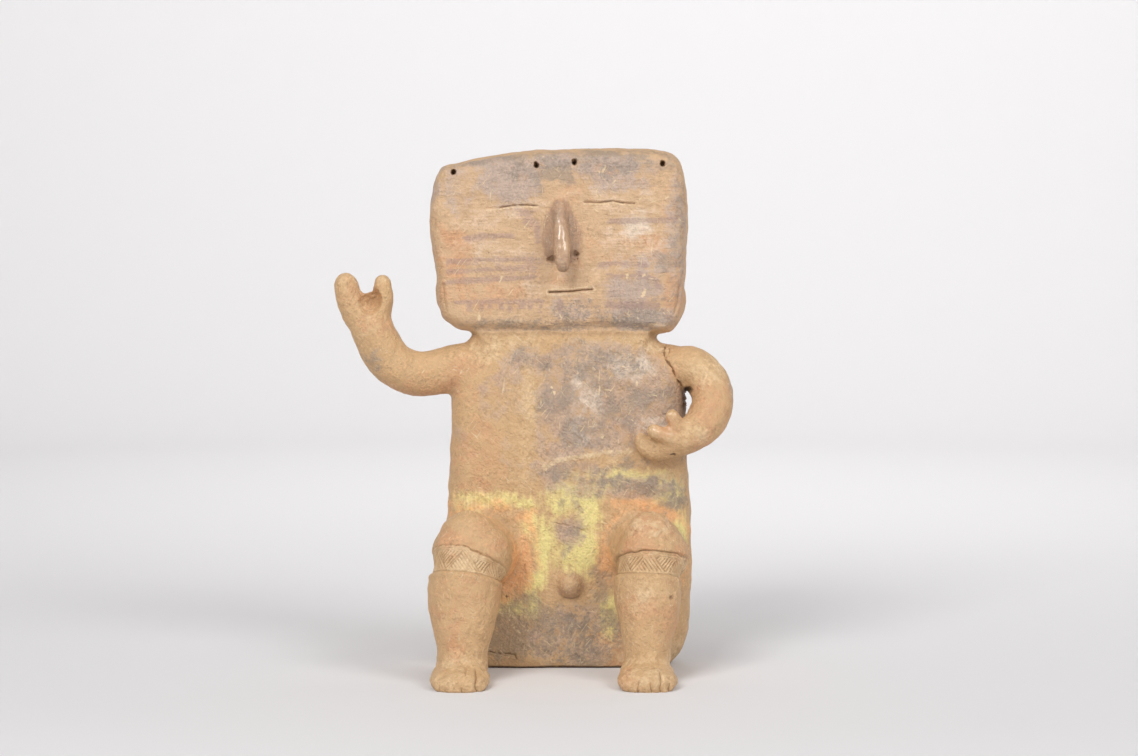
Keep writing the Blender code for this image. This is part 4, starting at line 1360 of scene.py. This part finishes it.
def bowl(around=96):
    """A flat disc, a quarter circle and an upright wall, as one profile turned about the vertical
    axis."""
    turn = np.linspace(0, math.pi / 2, 24)
    curve_out = FLOOR_RADIUS + CURVE_RADIUS * np.sin(turn)
    out = np.concatenate([[0.02, 0.8], curve_out, [FLOOR_RADIUS + CURVE_RADIUS]])
    up = np.concatenate([[0, 0], CURVE_RADIUS * (1 - np.cos(turn)), [PAPER_TOP]])
    angle = np.arange(around) * 2 * math.pi / around
    grid = np.stack([out[:, None] * np.cos(angle), out[:, None] * np.sin(angle), up[:, None] + 0 * angle], -1)
    row = np.arange(len(out) - 1)[:, None] * around
    here, after = np.arange(around), (np.arange(around) + 1) % around
    quads = np.stack([row + here, row + after, row + around + after, row + around + here], -1)[..., ::-1]
    faces = quads.reshape(-1, 4).tolist() + [np.arange(around).tolist()]
    mesh = bpy.data.meshes.new("paper_bowl")
    mesh.from_pydata(grid.reshape(-1, 3), [], faces)
    mesh.polygons.foreach_set("use_smooth", np.ones(len(mesh.polygons), bool))
    return mesh


paper = bpy.data.materials.new("pale_paper")
paper.use_nodes = True
paper_surface = paper.node_tree.nodes["Principled BSDF"]
paper_surface.inputs["Base Color"].default_value = PAPER_WHITE
paper_surface.inputs["Roughness"].default_value = PAPER_ROUGHNESS
backdrop = bpy.data.objects.new("paper_bowl", bowl())
backdrop.data.materials.append(paper)
bpy.context.scene.collection.objects.link(backdrop)
print("paper bowl:", len(backdrop.data.polygons), "faces")

# %% Lights
AIM = Vector((0, 0, 0.22))
SOFTBOX_SIDE = 1.2


def softbox(name, place, target, power):
    """A square light at that place, turned to look at the target."""
    light = bpy.data.lights.new(name, "AREA")
    light.size = SOFTBOX_SIDE
    light.energy = power
    holder = bpy.data.objects.new(name, light)
    holder.location = place
    holder.rotation_euler = (target - place).to_track_quat("-Z", "Y").to_euler()
    bpy.context.scene.collection.objects.link(holder)


def at_angle(azimuth, elevation, distance):
    """The place at that distance from the figure, azimuth degrees round from the front and elevation
    up."""
    a, e = math.radians(azimuth), math.radians(elevation)
    return AIM + distance * Vector((math.sin(a) * math.cos(e), -math.cos(a) * math.cos(e), math.sin(e)))


softbox("left_softbox", at_angle(-28, 38, 3.0), AIM, 48)
softbox("right_softbox", at_angle(46, 34, 3.0), AIM, 30)
softbox("top_softbox", at_angle(0, 74, 2.4), AIM, 9)
softbox("backdrop_softbox", Vector((0.15, 0.9, 2.3)), Vector((0.25, 1.9, 1.8)), 46)
print("lights:", ", ".join(light.name for light in bpy.data.lights))

# %% A little light from everywhere
ROOM_WHITE, ROOM_LIGHT = (1, 1, 1, 1), 0.13
world = bpy.data.worlds.new("soft_room")
world.use_nodes = True
room = world.node_tree.nodes["Background"]
room.inputs["Color"].default_value = ROOM_WHITE
room.inputs["Strength"].default_value = ROOM_LIGHT
bpy.context.scene.world = world
bpy.context.scene.view_settings.view_transform = "Standard"
print("strength of the light from everywhere:", ROOM_LIGHT)

# %% [markdown]
# ## The camera
#
# The photograph was taken from two metres away, a little above the middle of the figure and looking
# slightly down: the tops of the feet show, and the slab's lower edge stands higher in the picture than
# the toes.

# %% Camera
CAMERA_HEIGHT, CAMERA_DISTANCE, CAMERA_PITCH = 0.370, 2.026, 3.35
LENS_LENGTH, SENSOR_WIDTH = 73.41, 36
lens = bpy.data.cameras.new("camera")
lens.sensor_width = SENSOR_WIDTH
lens.lens = LENS_LENGTH
camera = bpy.data.objects.new("camera", lens)
camera.location = (0, -CAMERA_DISTANCE, CAMERA_HEIGHT)
camera.rotation_euler = (math.radians(90 - CAMERA_PITCH), 0, 0)
bpy.context.scene.collection.objects.link(camera)
bpy.context.scene.camera = camera
print("camera at", tuple(round(v, 3) for v in camera.location))

# %% Hand over
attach(figure, "root")
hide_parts("slab_figure")
